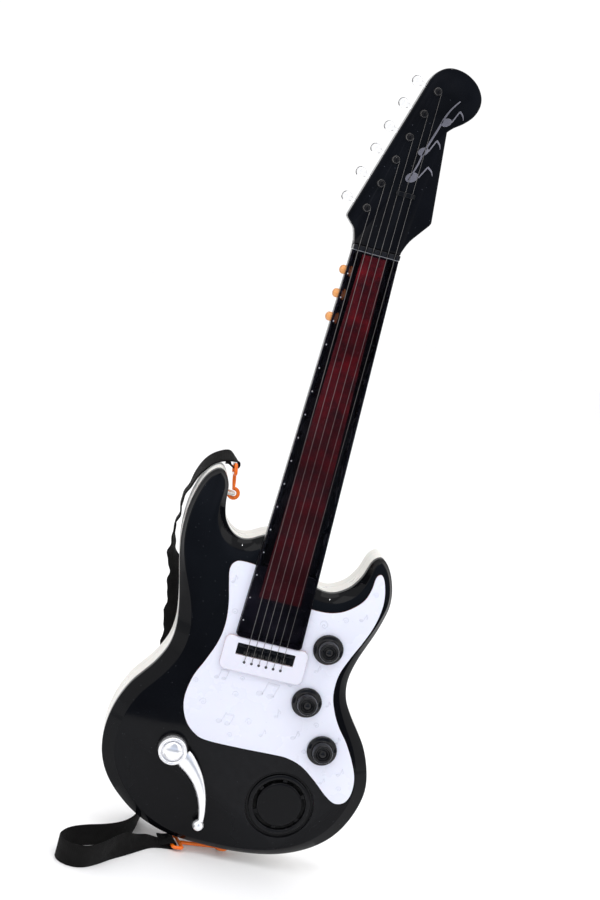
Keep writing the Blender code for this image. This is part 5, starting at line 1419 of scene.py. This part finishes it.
def plane(name, corners, material):
    bm = bmesh.new()
    bm.faces.new([bm.verts.new(Vector(c)) for c in corners])
    data = bpy.data.meshes.new(name)
    bm.to_mesh(data)
    bm.free()
    data.materials.append(material)
    ob = bpy.data.objects.new(name, data)
    bpy.context.scene.collection.objects.link(ob)
    return ob


def softbox(name, spot, target, size, energy):
    light = bpy.data.lights.new(name, 'AREA')
    light.shape = 'RECTANGLE'
    light.size, light.size_y = size
    light.energy = energy
    ob = bpy.data.objects.new(name, light)
    ob.location = spot
    ob.rotation_euler = (Vector(target) - Vector(spot)).to_track_quat('-Z', 'Y').to_euler()
    bpy.context.scene.collection.objects.link(ob)


def floor_material():
    material, tree, shader = new_material("Studio Floor")
    pale = tuple(colours().floor)
    link = tree.tree.links.new
    link(tree.blend(noise(tree, 3.0), rgba(pale), rgba(tuple(c * 0.985 for c in pale))),
         shader.inputs["Base Color"])
    link(place_group(tree, smudges(), Scale=4.0, Low=0.32, High=0.4), shader.inputs["Roughness"])
    shader.inputs["Specular IOR Level"].default_value = 0.4
    return material


def flag_material(name, low, high, scale, rise):
    """Dark card for the gloss to mirror: cloudy, brighter along rise, white at both sides."""
    material, tree, shader = new_material(name)
    link = tree.tree.links.new
    where = tree.add("ShaderNodeSeparateXYZ", {"Vector": tree.add("ShaderNodeTexCoord").outputs["Object"]})
    cloud = tree.spread(noise(tree, scale, 5.0, 0.6), 0.36, 0.64, 0.0, 0.6)
    axis, start, end = rise
    climb = tree.spread(where.outputs[axis], start, end, 0.0, 0.6)
    colour = tree.blend(tree.maths('ADD', cloud, climb), rgba(low), rgba(high))
    away = tree.maths('ABSOLUTE', tree.maths('SUBTRACT', where.outputs[0], FLAG_MIDDLE))
    colour = tree.blend(tree.spread(away, *FLAG_FADE), colour, (1.05, 1.05, 1.06, 1.0))
    link(colour, shader.inputs["Emission Color"])
    shader.inputs["Emission Strength"].default_value = 1.0
    shader.inputs["Base Color"].default_value = (0, 0, 0, 1)
    shader.inputs["Specular IOR Level"].default_value = 0.0
    return material


def reflection_only(ob):
    ob.visible_camera = False
    ob.visible_diffuse = False
    ob.visible_shadow = False


def build_stage():
    ground, far = CAD_BOX[0].z, FLOOR_REACH
    plane("studio_floor", ((-far, -far, ground), (far, -far, ground), (far, far, ground),
                           (-far, far, ground)), floor_material())
    low = flag_material("Low Flag", (0.04, 0.05, 0.09), (0.5, 0.68, 0.95), 1.4, (1, -0.8, -1.5))
    front = flag_material("Front Flag", (0.10, 0.13, 0.19), (0.62, 0.74, 1.0), 4.5, (2, -0.1, -0.5))
    x0, x1, y, height = FLAG_LEFT, FLAG_RIGHT, FLAG_FAR, ground + FLAG_LIFT
    reflection_only(plane("flag_low", ((x0, -0.30, height), (x1, -0.345, height), (x1, y, height),
                                       (x0, y, height)), low))
    reflection_only(plane("flag_front", ((x0, y, ground), (x1, y, ground), (x1, y, FLAG_TOP),
                                         (x0, y, FLAG_TOP)), front))
    world = bpy.data.worlds.new("studio")
    world.use_nodes = True
    back = world.node_tree.nodes["Background"]
    back.inputs[0].default_value = SKY
    back.inputs[1].default_value = SKY_STRENGTH
    bpy.context.scene.world = world
    for light in LIGHTS:
        softbox(*light)
    bpy.context.scene.view_settings.view_transform = 'Standard'
    build_camera()


# ---------------------------------------------------------------- operators and panel

def body_loop():
    return smooth_loop(BODY_OUTLINE, 2)


class GuitarOperator(bpy.types.Operator):
    bl_options = {'REGISTER', 'UNDO'}


class GUITAR_OT_stage(GuitarOperator):
    """Set the floor, lights and camera"""
    bl_idname = "guitar.stage"
    bl_label = "Studio stage"

    def execute(self, context):
        build_stage()
        return {'FINISHED'}


class GUITAR_OT_body(GuitarOperator):
    """Mould the front shell, middle frame and back shell"""
    bl_idname = "guitar.body"
    bl_label = "Body shells"

    def execute(self, context):
        build_front_shell(body_loop())
        build_mid_frame(body_loop())
        build_back_shell(body_loop())
        return {'FINISHED'}


class GUITAR_OT_pickguard(GuitarOperator):
    """Make the pickguard with its raised notes, and the bridge"""
    bl_idname = "guitar.pickguard"
    bl_label = "Pickguard and bridge"

    def execute(self, context):
        build_pickguard()
        build_bridge()
        return {'FINISHED'}


class GUITAR_OT_neck(GuitarOperator):
    """Make the neck, its smoky panel, red window and nut"""
    bl_idname = "guitar.neck"
    bl_label = "Neck"

    def execute(self, context):
        build_neck()
        return {'FINISHED'}


class GUITAR_OT_headstock(GuitarOperator):
    """Make the headstock, posts, clear pegs and raised ornament"""
    bl_idname = "guitar.headstock"
    bl_label = "Headstock"

    def execute(self, context):
        build_headstock()
        build_tuners()
        build_ornament()
        return {'FINISHED'}


class GUITAR_OT_strings(GuitarOperator):
    """Run the six strings from the bridge to the posts"""
    bl_idname = "guitar.strings"
    bl_label = "Strings"

    def execute(self, context):
        build_strings()
        return {'FINISHED'}


class GUITAR_OT_controls(GuitarOperator):
    """Make the knobs, neck buttons, silver lever and speaker grille"""
    bl_idname = "guitar.controls"
    bl_label = "Controls and speaker"

    def execute(self, context):
        build_knobs()
        build_buttons()
        build_whammy()
        build_speaker()
        return {'FINISHED'}


class GUITAR_OT_strap(GuitarOperator):
    """Weave the strap and make its two hooks"""
    bl_idname = "guitar.strap"
    bl_label = "Strap and hooks"

    def execute(self, context):
        build_strap()
        return {'FINISHED'}


class GUITAR_OT_back(GuitarOperator):
    """Make the battery door, switch and screws, and finish the inner pieces"""
    bl_idname = "guitar.back"
    bl_label = "Back and inside"

    def execute(self, context):
        build_back()
        paint_insides()
        return {'FINISHED'}


OPERATORS = (GUITAR_OT_stage, GUITAR_OT_body, GUITAR_OT_pickguard, GUITAR_OT_neck, GUITAR_OT_headstock,
             GUITAR_OT_strings, GUITAR_OT_controls, GUITAR_OT_strap, GUITAR_OT_back)


class GUITAR_PT_panel(bpy.types.Panel):
    """Builders of the guitar's pieces, with its sizes and colours"""
    bl_idname = "GUITAR_PT_panel"
    bl_label = "Toy Electric Guitar"
    bl_space_type = 'VIEW_3D'
    bl_region_type = 'UI'
    bl_category = "Guitar"

    def draw(self, context):
        for operator in OPERATORS:
            self.layout.operator(operator.bl_idname)
        for group in (context.scene.guitar_sizes, context.scene.guitar_colours):
            box = self.layout.box()
            for name in group.bl_rna.properties.keys():
                if name not in ("rna_type", "name"):
                    box.prop(group, name)


CLASSES = (GuitarSizes, GuitarColours, *OPERATORS, GUITAR_PT_panel)


def register():
    for cls in CLASSES:
        bpy.utils.register_class(cls)
    bpy.types.Scene.guitar_sizes = bpy.props.PointerProperty(type=GuitarSizes)
    bpy.types.Scene.guitar_colours = bpy.props.PointerProperty(type=GuitarColours)


def unregister():
    del bpy.types.Scene.guitar_colours
    del bpy.types.Scene.guitar_sizes
    for cls in reversed(CLASSES):
        bpy.utils.unregister_class(cls)


def main():
    register()
    bpy.ops.guitar.stage()
    bpy.ops.guitar.body()
    bpy.ops.guitar.pickguard()
    bpy.ops.guitar.neck()
    bpy.ops.guitar.headstock()
    bpy.ops.guitar.strings()
    bpy.ops.guitar.controls()
    bpy.ops.guitar.strap()
    bpy.ops.guitar.back()


if __name__ == "__main__":
    main()
